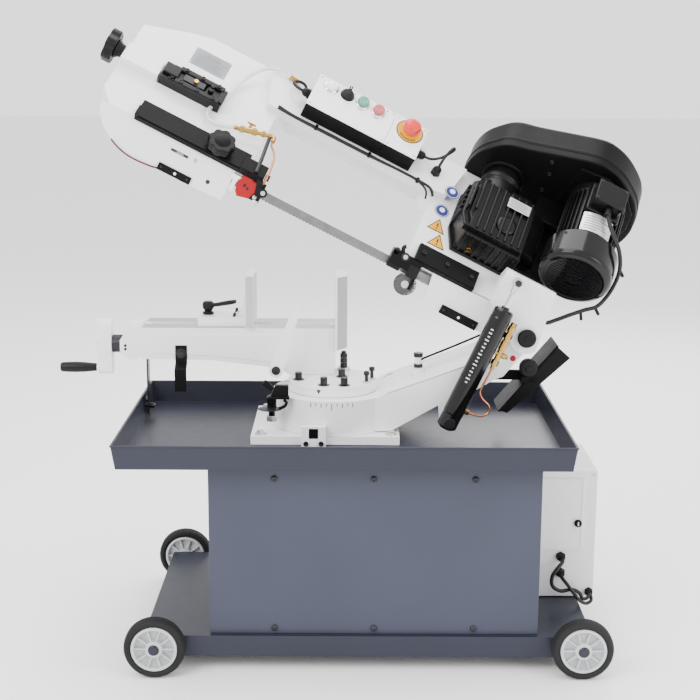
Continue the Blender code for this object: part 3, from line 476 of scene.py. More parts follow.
# ---------------------------------------------------------------- floor wheels
def floor_wheels():
    for sx, x in (("left", -399.0), ("right", 482.0)):
        for sy, y in (("front", -299.5), ("rear", 245.0)):
            d = -1 if sy == "front" else 1
            a, b = (x, y + 18 * d, 63.5), (x, y + 17 * d, 63.5)  # heights run inwards from the outer face
            tyre = [
                (48.5, 5), (51, 2.2), (55, 0.8), (59, 2.2), (61.6, 5.6), (62.9, 9.5), (63.4, 11), (63.4, 14.2), (62.4, 15),
                (62.4, 16), (63.5, 16.8), (63.5, 19.2), (62.4, 20), (62.4, 21), (63.4, 21.8), (63.4, 25), (62.9, 26.5),
                (61.6, 30.4), (59, 33.8), (55, 35.2), (51, 33.8), (48.5, 31), (46.5, 28), (46.5, 8),
            ]
            hub = rounded(
                [
                    (47.6, 6.5), (47.6, 3.2), (45.5, 1.6), (42.6, 1.6), (41.2, 3.4), (40.6, 12.5), (38, 14), (19.5, 14),
                    (18.2, 12.5), (17.6, 1.6), (16.2, 0.6), (10, 0.6), (9, 1.6), (8.4, 3), (8.4, 33), (9, 34.4), (10, 35.4),
                    (16.2, 35.4), (17.6, 34.4), (18.2, 23.5), (19.5, 22), (38, 22), (40.6, 23.5), (41.2, 32.6),
                    (42.6, 34.4), (45.5, 34.4), (47.6, 32.8), (47.6, 29.5),
                ],
                0.6, 2,
            )
            ribs = []
            turn = Matrix.Translation((x, y, 63.5))
            for k in range(10):
                for s in (-1, 1):
                    rib = bx(17.2, 41.4, 4.2, 13.0, -1.5, 1.5, 0.7, 2) if s > 0 else bx(17.2, 41.4, -13.0, -4.2, -1.5, 1.5, 0.7, 2)
                    rib.transform(turn @ Matrix.Rotation(math.radians(36 * k), 4, "Y"))
                    ribs.append(rib)
            make(
                f"floor_wheel_{sy}_{sx}", f"wheel_{sy}_{sx}", ROOT,
                [(lathe(tyre, a, b, 72), RUBBER), ([lathe(hub, a, b, 64), *ribs], HUB_GREY)],
                stands=(f"wheel_{sy}_{sx}",),
            )
            e = y + 22.4 * d
            make(
                f"axle_cap_{sy}_{sx}", "base", ROOT,
                [
                    (lathe([(0, 0), (5, 0), (8.6, 0.9), (10.6, 2.2), (11.4, 4.2), (0, 4.2)], (x, e, 63.5), (x, e - d, 63.5), 32), BLACK_OXIDE),
                ],
            )


# ---------------------------------------------------------------- cabinet, tray and box
def cabinet():
    screws = []
    for z, xs in ((414, (-153, 50, 257)), (91, (-154, 52, 259))):
        for x in xs:
            screws.append(pan_screw((x, -263.6, z), (0, -1, 0), 6.6, 3.4))
    make("panel_screws", "base", ROOT, [(screws, BLACK_OXIDE)])
    # rear hatch with louvres, and vent slots in the side
    louvres = [bx(-30 + 26 * 0, 130, 205.2, 208.5, 300 + 18 * k, 306 + 18 * k, 1.2, 2) for k in range(5)]
    hatch = bx(-220, 320, 205.2, 206.8, 110, 420, 0.7, 2)
    rear_screws = [pan_screw((x, 206.6, z), (0, 1, 0), 5.5, 2.8) for x in (-205, 305) for z in (125, 405)]
    make("rear_hatch", "base", ROOT, [([hatch, *louvres], SLATE_PANEL), (rear_screws, BLACK_OXIDE)])
    # the side vent slots are thin near-black boxes: painted shade inside the openings
    slots = [bx(-289.4, -288.2, -60 + 0, 40, 330 + 14 * k, 335 + 14 * k, 0.5, 2) for k in range(6)]
    make("side_vents", "base", ROOT, [(slots, PAINTED_SHADE)])

    # rolled lip round the tray's rim
    lip, z = 7.0, 495.4
    x0, x1, y0, y1 = -468 - lip, 447 + lip, -308 - lip, 250 + lip
    ring = [(x0, y0, z), (x1, y0, z), (x1, y1, z), (x0, y1, z)]
    sides = []
    for i in range(4):
        p, q = Vector(ring[i]), Vector(ring[(i + 1) % 4])
        sides.append(sweep([p + Vector((0, 0, -0.6)), q + Vector((0, 0, -0.6))], 1.9, 10, curve=False))
    make("tray_lip", "base", ROOT, [(sides, SLATE)])
    # strainer in the tray's floor, over a near-black disc painted as the shade inside the drain
    bars = [bx(206 + 9.0 * k, 209 + 9.0 * k, -217, -163, 447.8, 449.4, 0.5, 2) for k in range(7)]
    ring_s = lathe(rounded([(34, 0), (40, 0), (40, 2.4), (34, 2.4)], 0.6), (237, -190, 447.9), (237, -190, 449), 48)
    drain_shade = cy((237, -190, 447.2), (237, -190, 448.4), 35, 48, 0.3)
    make("tray_strainer", "base", ROOT, [(drain_shade, PAINTED_SHADE), ([ring_s, *bars], SATIN_BLACK)])
    # foot bolts of the casting and the index block's insert
    bolts = []
    for x, y in ((-190, -112), (88, -112), (-190, 116), (88, 116)):
        bolts += hex_bolt((x, y, 466.5), (0, 0, 1), 8.6, 6.5)
    low = [socket_screw((x, -148, 456), (0, -1, 0), 5.4, 5.5) for x in (-92, -60)]
    insert = bx(-85, -67, -149.2, -142.5, 467, 487, 0.8)
    make("base_bolts", "base", ROOT, [(bolts, ZINC), (low, BLACK_OXIDE), (insert, SATIN_BLACK)])

    # electrical box: rim, lock, glands
    lock = [lathe(rounded([(0, 0), (8.4, 0), (8.4, 4.5), (6.8, 6), (0, 6)], 0.7), (504, -58.6, 252), (504, -60, 252), 32)]
    slot_ = [bx(502.6, 505.4, -65.2, -64.0, 247.5, 256.5, 0.4, 2)]
    rim = ribbon("xz", [(424.5, 191.5), (512.5, 191.5), (512.5, 350.5), (424.5, 350.5)], -57.9, -58.4, 1.6)
    make("door_fittings", "box_door", ROOT, [(lock, SATIN_BLACK), (slot_, ZINC), (rim, GREY_BOX)])
    glands = []
    for z in (174, 137):
        glands += [hexa((469, -55, z), (469, -61, z), 11.5, 0.9), cy((469, -61, z), (469, -69, z), 8.8, 32, 1.6)]
    glands += [hexa((534, -55, 92), (534, -60, 92), 10.0, 0.8), cy((534, -60, 92), (534, -66, 92), 7.6, 32, 1.4)]
    corner = [pan_screw((x, -55, z), (0, -1, 0), 3.6, 2.0) for x in (401, 537) for z in (88, 362)]
    make("box_glands", "base", ROOT, [(glands, PLASTIC), (corner, ZINC)])
    one = [(469, -64, 174), (470, -80, 170), (458, -92, 160), (446, -94, 140), (448, -92, 118), (466, -90, 106), (492, -86, 108),
           (508, -84, 100), (518, -80, 84), (530, -72, 84), (534, -65, 92)]
    two = [(469, -64, 137), (470, -82, 133), (480, -92, 122), (494, -96, 104), (510, -92, 84), (526, -82, 74), (538, -72, 78), (536, -62, 90)]
    make("box_leads", "base", ROOT, [(sweep(one, 4.2, 14), CABLE), (sweep(two, 4.0, 14), CABLE)], stands=("box_cable",))


# ---------------------------------------------------------------- vise
def vise():
    jaw = prism("xy", [(-32.6, 14), (-28, 14), (-7, 40), (-7, 122), (-32.6, 122)], 622, 786, 1.4)
    face = [
        prism("xy", [(-27.6, 13.4), (-6.4, 39.7), (-7.2, 40.3), (-28.4, 14.0)], 624, 784, 0.25, 2),
        bx(-33.3, -32.4, 15, 121, 624, 784, 0.3, 2),
    ]
    make("fixed_jaw_plate", "base", ROOT, [(jaw, WHITE), (face, GROUND)], stands=("fixed_jaw",))
    face = bx(-212.2, -211.4, 21, 127, 671, 785, 0.3, 2)
    edge = bx(-229, -213, 18.8, 20.2, 671, 785, 0.4, 2)
    small = [socket_screw((-258, y, 689), (0.25, -0.2, 1), 3.4, 9.0) for y in (60, 120)]
    small += [cy((-258, y, 686), (-256.5, y - 1, 692), 2.0, 16, 0.2) for y in (60, 120)]
    gib = bx(-338.6, -338.0, 54, 124, 671, 687, 0.4, 2)
    make("moving_jaw_trim", "jaw", ROOT, [([face, edge, gib], GROUND), (small, BLACK_OXIDE)])

    # machined strips of the bed's top, either side of the slot
    strips = [bx(-459, -34, 29, 77.6, 668.4, 669.0 - 0.12, 0.2, 1), bx(-459, -34, 101.4, 150, 668.4, 669.0 - 0.12, 0.2, 1)]
    dome = lathe([(0, 10.5), (6, 10.0), (12, 8.3), (16.5, 5.2), (18.6, 0.5), (18.6, -6), (0, -6)], (-480, 89.5, 667.5), (-480, 89.5, 668.5), 40)
    dots = [socket_screw((-500, 50.4, 624), (0, -1, 0), 3.2, 1.6), socket_screw((-500, 50.4, 616), (0, -1, 0), 3.2, 1.6)]
    rule = [bx(-440 + 10 * k, -439.2 + 10 * k, 29.5, 29.5 + (9 if k % 5 == 0 else 5), 668.8, 669.1, 0, 1) for k in range(0, 39)]
    make("bed_trim", "base", ROOT, [(strips, GROUND), (dome, WHITE), (dots, BLACK_OXIDE), (rule, LABEL_BLACK)])
    # raised panel on the bed's front
    panel = prism("xz", [(-436, 612), (-300, 606), (-172, 592), (-160, 600), (-160, 654), (-436, 654)], 26.6, 28.4, 0.9)
    make("bed_panel", "base", ROOT, [(panel, WHITE)])

    # ratchet lever on the jaw
    hub = lathe(rounded([(0, 0), (12, 0), (13, 3), (13, 5), (8, 6.5), (9.5, 10), (12.6, 14), (13.2, 20), (12.2, 26), (9.5, 29), (0, 29.6)], 1.2),
                (-318, 89.5, 689.3), (-318, 89.5, 690.3), 36)
    grip = sweep([(-318, 89.5, 709), (-301, 80, 712), (-280, 69, 717), (-260, 59, 722), (-254, 57, 723.5)], [6.5, 5.6, 6.0, 6.6, 5.6], 20, step=3.0, flat=0.8)
    make("jaw_ratchet_lever", "jaw_lever", ROOT, [([hub, grip], PLASTIC)], stands=("jaw_lever",))
    make("vise_lever_bolt", "vise_lever", ROOT, [([*hex_bolt((-160, -41, 589), (0, -1, 0), 7.4, 4.0, False), cy((-160, -41, 589), (-160, -42.6, 589), 9.6, 32, 0.5)], BLACK_OXIDE)])

    # crank: hub collar, grip with its ferrule
    hub = [lathe(rounded([(11, 0), (19.5, 0), (19.5, 5), (17, 7), (17, 18), (20, 21.2), (11, 21.2)], 1.0), (-534, 89.5, 621), (-533, 89.5, 621), 40)]
    end = [lathe(rounded([(0, 0), (9.4, 0), (9.4, 2.2), (6, 4), (0, 4)], 0.8), (-566.4, 89.5, 621), (-567.4, 89.5, 621), 32)]
    ferrule = [lathe(rounded([(5.2, 0), (8.5, 0), (8.5, 4.4), (5.2, 4.4)], 0.6), (-571, 89.5, 566), (-567, 89.5, 566), 32)]
    make("crank_fittings", "crank", ROOT, [(hub, BLACK_OXIDE), (end, ZINC), (ferrule, CHROME)])
    body = lathe(
        rounded([(5.6, 0), (8.2, 0), (9.2, 3), (9.6, 10), (11.4, 28), (12.0, 48), (11.6, 66), (10.8, 78), (8.8, 81.6), (5.6, 82)], 1.6, 4),
        (-572, 89.5, 566), (-573, 89.5, 566), 40,
    )
    core = [cy((-653.6, 89.5, 566), (-651, 89.5, 566), 5.2, 24, 0.4)]
    make("crank_handle", "crank_grip", ROOT, [(body, PLASTIC), (core, ZINC)], stands=("crank_grip",))

    # strap bolt, leg wing screws
    strap = hex_bolt((-373, 24.4, 612), (0, -1, 0), 7.6, 4.6)
    wing = [
        cy((-462.5, 120, 470), (-474, 120, 470), 4.6, 24, 0.5), cy((-459, 120, 470), (-449, 120, 470), 6.2, 24, 0.5),
        bx(-456, -446, 112, 128, 466.5, 473.5, 2.6), cy((-462.5, 120, 485), (-467, 120, 485), 6.5, 6, 0.5),
    ]
    make("vise_fasteners", "base", ROOT, [(strap, BLACK_OXIDE), (wing, BLACK_OXIDE)])

    # bolts on the swivel flange
    top = 564.3
    dark, light = [], []
    for x, y, r, h in ((-112, -18, 8.6, 15), (-56, -70, 8.8, 16), (-12, -72, 8.8, 16), (-18, 12, 8.8, 15)):
        dark += hex_bolt((x, y, top), (0, 0, 1), r, h)
    for z in (0, 11, 22):
        dark.append(hexa((-14, 84, top + 6 + z), (-14, 84, top + 15.5 + z), 9.4, 0.9))
    dark.append(cy((-14, 84, top + 37), (-14, 84, top + 43), 5.4, 20, 0.6))
    light.append(cy((-14, 84, top), (-14, 84, top + 6), 15, 36, 0.8))
    for x, y, h in ((36, -44, 17), (48, -10, 19)):
        dark += [cy((x, y, top), (x, y, top + h), 3.8, 20, 0.3), socket_screw((x, y, top + h), (0, 0, 1), 6.4, 8.0)]
        light.append(cy((x, y, top), (x, y, top + 3), 8, 28, 0.6))
    make("flange_bolts", "base", ROOT, [(dark, BLACK_OXIDE), (light, ZINC)])
    a = math.radians(-107)
    tri = prism("xz", [(-5, 5), (5, 5), (0, -5)], -0.35, 0.35)
    tri.transform(Matrix.Translation((-38 + 97.1 * math.cos(a), 97.1 * math.sin(a), 554)) @ Matrix.Rotation(a + math.pi / 2, 4, "Z"))
    make("swivel_pointer", "base", ROOT, [(tri, LABEL_BLACK)])


# ---------------------------------------------------------------- arm and feed cylinder
def arm():
    marks = []
    for k in range(-4, 5):
        a = math.radians(-90 + 5 * k)
        h = 15 if k == 0 else (9 if k % 2 == 0 else 6)
        t = bx(-0.7, 0.7, -0.3, 0.3, 538 - h, 538, 0, 1)
        t.transform(Matrix.Translation((-38 + 130.1 * math.cos(a), 130.1 * math.sin(a), 0)) @ Matrix.Rotation(a + math.pi / 2, 4, "Z"))
        marks.append(t)
    screw = [hexa((149, -12, 592.3), (149, -12, 600), 11, 0.9), hexa((149, -12, 615), (149, -12, 624.6), 11.5, 1.0)]
    rod = sweep([(151, -12, 606), (158, -14, 611), (215, -22, 637), (300, -30, 676)], 2.4, 12, step=8)
    red = cy((350, -56.2, 622), (350, -57.0, 622), 6.5, 32, 0.2)
    nut = [hexa((210, -124.2, 499), (210, -131, 499), 11.5, 1.0), cy((210, -130.5, 499), (210, -133, 499), 6, 24, 0.5)]
    bump = [
        lathe(rounded([(0, 0), (19, 0), (20, 4), (20, 20), (16, 24), (0, 24)], 2.0, 4), (386, -30, 598), (386, -31, 598), 40),
        hexa((386, -54, 598), (386, -58, 598), 7, 0.6),
    ]
    fold = bx(370, 402, -52, -46, 566, 580, 1.2)
    make("arm_fittings", "arm", ROOT, [(marks, LABEL_BLACK), (screw, BLACK_OXIDE), (rod, SATIN_BLACK), (red, RED), (nut, BLACK_OXIDE), (bump, RUBBER), (fold, SATIN_BLACK)])
    cap = [lathe(rounded([(0, 0), (20, 0), (20, 4), (17, 6.5), (6, 6.5), (5, 4.5), (0, 4.5)], 1.0), (374, -92, 673), (374, -93, 673), 44),
           hexa((374, -96, 673), (374, -99.6, 673), 6.5, 0.6)]
    back = [cy((374, 108, 673), (374, 112, 673), 17, 40, 0.8)]
    make("pivot_caps", "arm", ROOT, [(cap, PLASTIC), (back, BLACK_OXIDE)])
    # side panel sunk into the arm's top
    web = prism("xz", [(96, 558), (186, 590), (286, 629.5), (286, 631.5), (186, 592), (96, 560)], -76, 76, 0.4, 2)
    ribs = [prism("xz", [(66, 542.2), (84, 553), (190, 591), (293, 630), (293, 631.8), (187, 594), (83, 556.5), (64, 544.5)], y0, y0 + 14, 2.0) for y0 in (-91.6, 77.6)]
    make("arm_ribs", "arm", ROOT, [([web, *ribs], WHITE)])

    nut = hexa((-166, -102, 493), (-166, -102, 505), 12.5, 1.0)
    post = lathe(rounded([(0, 0), (7, 0), (7, 10), (10, 14), (10.5, 40), (8, 44), (0, 44)], 1.4), (-166, -102, 505), (-166, -102, 506), 32)
    lens = lathe([(0, -3), (14, -2.6), (22, -1.4), (26, 0), (22, 1.4), (14, 2.6), (0, 3)], (-170, -104, 520), (-170, -104, 521), 44)
    yoke = sweep([(-150, -108, 522), (-138, -112, 528), (-134, -112, 536), (-140, -110, 541)], 3.4, 12, step=3)
    arm_ = bx(-172, -128, -116, -100, 543, 549, 1.4)
    block = prism("xz", [(-168, 549), (-130, 549), (-130, 573), (-158, 573)], -114, -100, 1.6)
    lever = prism("xz", [(-186, 574), (-180, 584), (-172, 580), (-160, 566), (-168, 560)], -110, -104, 1.4)
    make("lock_lever", "swivel_lock", ROOT, [(nut, ZINC), (post, GLOSS_BLACK), ([yoke, arm_, block, lever], SATIN_BLACK), (lens, BLACK_OXIDE)],
         stands=("swivel_lock",))

    low = Vector((210.0, -122.0, 499.0))
    toroot = ROOT.inverted() @ BOW
    high = toroot @ Vector((-79, -122, 98))
    d = (high - low).normalized()
    side = Vector((d.z, 0, -d.x))

    def at(s):
        return low + d * s

    barrel = lathe(rounded([(0, 0), (13, 0), (21.5, 6), (21.5, 36), (22.2, 38), (22.2, 262), (21.5, 264), (21.5, 280), (17, 284), (9, 284), (9, 289), (5.6, 289), (5.6, 270), (0, 270)], 1.4),
                   at(-17), at(-16), 64)
    pad = [cy(low + Vector((0, -20, 0)), low + Vector((0, -22.8, 0)), 12, 40, 0.8)]
    marks = []
    face = (Vector((0, -1, 0)) * 0.93 - side * 0.37).normalized()
    across = d.cross(face).normalized()
    widths = (5, 9, 5, 7, 4, 9, 6, 5, 8, 4, 7, 5, 9, 5, 7, 6)
    s = 96.0
    for n, wd in enumerate(widths):
        c = at(s) + face * 21.8
        m = bx(-wd / 2, wd / 2, -0.5, 0.5, -1.6, 1.6, 0.2, 1)
        m.transform(Matrix.Translation(c) @ Matrix((across, face, d)).transposed().to_4x4())
        marks.append(m)
        s += 8.2
    make("feed_barrel", "feed_cylinder", ROOT, [(barrel, GLOSS_BLACK), (pad, BLACK_OXIDE), (marks, HUB_GREY)], stands=("feed_cylinder",))
    rod = [cy(at(80), at((high - low).length - 8), 5.0, 40, 0.2)]
    eye = [lathe(rounded([(5, -7), (10, -7), (10.5, -4), (10.5, 4), (10, 7), (5, 7)], 1.0), high, high + Vector((0, -1, 0)), 40),
           cy(at((high - low).length - 24), at((high - low).length - 9), 7, 28, 0.8)]
    bolt = [hexa(high + Vector((0, -8, 0)), high + Vector((0, -13.5, 0)), 7.5, 0.8), cy(high + Vector((0, 8, 0)), high + Vector((0, 13.2, 0)), 5, 24, 0.3)]
    make("cylinder_rod_end", "cylinder_rod", ROOT, [(rod, CHROME), (eye, ZINC), (bolt, BLACK_OXIDE)], stands=("cylinder_rod",))
    o = side * 31.5
    brass = [
        cy(at(150) + o, at(236) + o, 6.4, 32, 0.6), hexa(at(150) + o, at(162) + o, 8.6, 0.7), hexa(at(212) + o, at(224) + o, 9.6, 0.8),
        cy(at(228) + o, at(240) + o, 8.2, 32, 0.8), hexa(at(240) + o, at(249) + o, 7.0, 0.6), cy(at(140) + o, at(150) + o, 4.6, 24, 0.5),
        cy(at(186) + o, at(206) + o, 8.0, 32, 1.0), hexa(at(176) + side * 38, at(176) + side * 46, 6.6, 0.6),
        cy(at(176) + side * 24, at(176) + side * 39, 4.8, 24, 0.4), cy(at(176) + side * 46, at(176) + side * 52, 4.0, 24, 0.8),
    ]
    end = at(18) + side * 22
    tube = [at(141) + o, at(120) + o, Vector((281, -122, 578)), Vector((275, -122, 560)), Vector((281, -122, 547)),
            Vector((294, -122, 533)), Vector((294, -122, 519)), Vector((280, -122, 511)), Vector((262, -122, 514)), Vector((249, -122, 519))]
    nutdir = (Vector((226, -122, 529)) - Vector((254, -122, 517))).normalized()
    c = Vector((252, -122, 518))
    brass += [hexa(c, c + nutdir * 9, 6.6, 0.6), cy(c + nutdir * 9, c + nutdir * 26, 4.8, 24, 0.4)]
    make("needle_valve", "feed_cylinder", ROOT, [(brass, BRASS), (sweep(tube, 2.3, 14, step=3), COPPER)], stands=("feed_valve",))


# ---------------------------------------------------------------- bow: blade, guides, tension
def blade():
    r = 139.4 + 0.4 + 0.45
    stations = []
    wide, out = Vector((0, 0, 1)), Vector((0, -1, 0))
    X0, X1 = -877.0, -136.0

    def cutting(x, f):
        a = math.radians(-45 * f)
        return Vector((x, -r, 0)), Vector((0, math.sin(-a), math.cos(a))), Vector((0, -math.cos(a), math.sin(-a)))

    for n in range(24):
        stations.append(cutting(X0 + (-690 - X0) * n / 24, n / 24))
    for n in range(96):
        stations.append(cutting(-690 + 390 * n / 96, 1))
    for n in range(20):
        stations.append(cutting(-300 + (X1 + 300) * n / 20, 1 - n / 20))
    for n in range(60):
        a = math.radians(-90 + 180 * n / 60)
        u = Vector((math.cos(a), math.sin(a), 0))
        stations.append((Vector((X1, 0, 0)) + u * r, wide, u))
    for n in range(120):
        stations.append((Vector((X1 + (X0 - X1) * n / 120, r, 0)), wide, -out))
    for n in range(60):
        a = math.radians(90 + 180 * n / 60)
        u = Vector((math.cos(a), math.sin(a), 0))
        stations.append((Vector((X0, 0, 0)) + u * r, wide, u))
    bm = bmesh.new()
    rows = []
    for k, (c, w, t) in enumerate(stations):
        ht = t * 0.45
        low = 10.0 if k % 2 else 8.0
        rows.append([bm.verts.new(c + p) for p in (w * 10 + ht, ht - w * 7.2, ht - w * low, -w * low - ht, -ht - w * 7.2, w * 10 - ht)])
    for a, b in zip(rows, rows[1:] + rows[:1]):
        for i in range(6):
            j = (i + 1) % 6
            bm.faces.new((a[i], b[i], b[j], a[j]))
    bmesh.ops.recalc_face_normals(bm, faces=bm.faces)
    make("saw_blade", "bow", INC, [(bm, BLADE_STEEL)], angle=25, stands=("blade",))


def tension():
    lobes = []
    n = 72
    for k in range(n):
        a = 2 * math.pi * k / n
        lobes.append((37.5 - 4.8 * (0.5 - 0.5 * math.cos(6 * a)) ** 1.6, a))
    ring = [(r * math.cos(a), 45 + r * math.sin(a)) for r, a in lobes]
    knob = prism("yz", ring, -1074, -1052, 3.4, 4, 50)
    hub = lathe(rounded([(0, 0), (20, 0), (22, 2), (16, 9), (14, 17), (6.2, 17), (6.2, 0)], 1.2), (-1052.4, 0, 45), (-1051.4, 0, 45), 40)
    cap = lathe([(0, 3.5), (6, 3.2), (11, 1.8), (13, 0), (13, -1), (0, -1)], (-1074, 0, 45), (-1075, 0, 45), 36)
    screw = cy((-1037, 0, 45), (-902, 0, 45), 5.8, 28, 0.5)
    make("tension_star", "tension_knob", INC, [([knob, hub], PLASTIC), (cap, SATIN_BLACK), (screw, STEEL)], stands=("tension_knob",))

    # block: two gib rails, centre slot with a bright slide and a brass nut, screws
    parts = [
        bx(-941, -906, -14, 14, 58.5, 68, 2.2), bx(-910, -806, -25.5, -13, 58.5, 66, 2.0), bx(-910, -806, 11, 24, 58.5, 66, 2.0),
        bx(-812, -798, -20, 18, 56, 64, 1.8), bx(-926, -910, -22, 22, 58, 62, 1.5),
    ]
    bright = [bx(-896, -846, -9, 9, 57, 64.5, 1.2)]
    brass = [cy((-868, 0, 60), (-868, 0, 70), 5.2, 28, 0.8)]
    scr = [socket_screw((x, y, 65.6), (0, 0, 1), 4.4, 4.2) for x in (-896, -858, -820) for y in (-19.4, 17.4)]
    scr += [socket_screw((-917, y, 61.6), (0, 0, 1), 4.2, 4.0) for y in (-14, 14)]
    bits = [cy((-832, y, 62), (-832, y, 72), 4.0, 20, 0.6) for y in (-6, 6)] + [hexa((-832, 0, 62), (-832, 0, 68), 7.0, 0.6)]
    make("tension_gibs", "tension_block", INC, [(parts, BLACK), (bright, BLACK_OXIDE), (brass, BRASS), (scr, BLACK_OXIDE), (bits, BLACK)])

    # guide bar furniture (rides on the sliding guide)
    cover = [bx(-938, -700, -141, -94, 46.2, 49.2, 1.0)]
    notch = [bx(-947, -925, -136, -110, 36, 47, 1.2)]
    make("guide_bar_plate", "guide_left", INC, [(cover + notch, SATIN_BLACK)])
    ring = []
    n = 72
    for k in range(n):
        a = 2 * math.pi * k / n
        r = 30.5 - 3.4 * (0.5 - 0.5 * math.cos(8 * a)) ** 1.5
        ring.append((-758 + r * math.cos(a), -118 + r * math.sin(a)))
    knob = prism("xy", ring, 55, 76, 3.4, 4, 50)
    boss = cy((-758, -118, 47), (-758, -118, 56), 15, 36, 1.0)
    top = lathe([(0, 3.0), (8, 2.8), (15, 1.6), (18, 0), (18, -1), (0, -1)], (-758, -118, 76), (-758, -118, 77), 40)
    make("guide_lobe_knob", "bow", INC, [([knob, boss], PLASTIC), (top, SATIN_BLACK)], stands=("guide_knob",))

    # guide heads: rollers, carbide blocks and screws on both sides of the blade
    head, rollers, screws, bright = [], [], [], []
    for x0, x1, s in ((-684, -646, 1), (-332, -302, -1)):
        c = (x0 + x1) / 2
        h = [bx(c - 15, c + 15, -24, -19.6, -6, 30, 1.2), bx(c - 12, c + 12, -27, -23.5, 2, 24, 1.2)]
        sc = [socket_screw((c - 7, -26.6, 8), (0, -1, 0), 4.0, 4.0), socket_screw((c + 7, -26.6, 18), (0, -1, 0), 4.0, 4.0)]
        if s < 0:
            head += h
            screws += sc
            rollers += [cy((c + 14, -24, 30), (c + 14, -36, 30), 9, 36, 0.8), cy((c - 8, -24, 33), (c - 8, -34, 33), 8, 36, 0.8)]
            bright += [cy((c + 14, -36, 30), (c + 14, -37.5, 30), 5, 24, 0.5)]
            head += [sweep([(c + 6, -26, 34), (c + 2, -26, 46), (c + 6, -26, 50)], 4.5, 14, step=2), bx(c - 16, c + 20, -30, -24, 20, 30, 1.6)]
    # the right head also carries the brush bracket and the inclined plate
    head += [bx(-286, -262, -36, -28.5, -6, 22, 1.4)]
    make("right_guide_furniture", "bow", BOW, [(head, BLACK), (rollers, BLACK_OXIDE), (screws, BLACK_OXIDE), (bright, ZINC)])
    plate = [bx(-284, -142, -142, -95, 46.2, 49.6, 1.0)]
    scr = [socket_screw((x, -118, 49.4), (0, 0, 1), 4.8, 4.6) for x in (-270, -214, -156)]
    make("right_bar_plate", "bow", INC, [(plate, SATIN_BLACK), (scr, BLACK_OXIDE)])
    head = [bx(-668, -634, -25, -19.5, -14, 30, 1.4), cy((-640, -22, 36), (-640, -22, 50), 5, 24, 0.8), cy((-634, -28, 12), (-634, -40, 12), 9.5, 36, 0.8),
            cy((-650, -22, 30), (-650, -34, 30), 7, 30, 0.8)]
    bright = [hexa((-642, -26, -10), (-642, -26, -20), 7, 0.7), cy((-634, -40, 12), (-634, -41.4, 12), 5, 24, 0.4)]
    white = [bx(-712, -690, -25.5, -19.8, 8, 20, 0.8)]
    scr = [pan_screw((-676, -26.8, 8), (0, -1, 0), 3.2, 1.8)]
    red = [prism("xz", [(-694, 13), (-680, 22), (-655, 24), (-650, 4), (-657, -14), (-682, -20), (-690, -10)], -26.6, -20.5, 1.2)]
    red += [bx(-690, -664, -26.8, -19.5, 18, 33, 1.4), bx(-684, -672, -26.9, -20, 30, 37, 1.2)]
    make("red_chip_guard", "guide_left", BOW, [(red, RED), ([pan_screw((-668, -26.8, 4), (0, -1, 0), 3.0, 1.4)], BLACK_OXIDE)], stands=("red_guard",))
    white.append(bx(-704, -695, -25, -20.2, -16, 12, 0.8))
    bright.append(cy((-650, -25, -4), (-642, -25, -6), 5.0, 28, 0.6))
    make("left_guide_furniture", "guide_left", BOW, [(head, BLACK), (bright, ZINC), (white, LABEL_WHITE), (scr, BLACK_OXIDE)])

    # wire brush
    hub = [lathe(rounded([(0, -3), (7, -3), (8.4, 0), (8.4, 13), (0, 13)], 0.8), (-276, -14, -24), (-276, -15, -24), 32)]
    bm = bmesh.new()
    n = 96
    for lay, (y, ro) in enumerate(((-17.0, 24.4), (-20.5, 25.0), (-24.0, 24.4))):
        for k in range(n):
            a = 2 * math.pi * (k + 0.33 * lay) / n
            b = a + 0.05 * math.sin(9 * k)
            w = 0.030
            c = Vector((-276, y, -24))
            q = [c + Vector((math.cos(t) * rr, dy, math.sin(t) * rr)) for t, rr, dy in
                 ((a - w, 8, -1.6), (a + w, 8, -1.6), (b + w, ro, -0.8), (b - w, ro, -0.8), (a - w, 8, 1.6), (a + w, 8, 1.6), (b + w, ro, 0.8), (b - w, ro, 0.8))]
            v = [bm.verts.new(p) for p in q]
            for f in ((0, 1, 2, 3), (7, 6, 5, 4), (0, 4, 5, 1), (1, 5, 6, 2), (2, 6, 7, 3), (3, 7, 4, 0)):
                bm.faces.new([v[i] for i in f])
    bmesh.ops.recalc_face_normals(bm, faces=bm.faces)
    disc = [cy((-276, -16.5, -24), (-276, -24.5, -24), 20, 48, 0.6)]
    make("wire_brush", "chip_brush", BOW, [([bm, *disc], BRISTLE), (hub, ZINC)], stands=("chip_brush",))


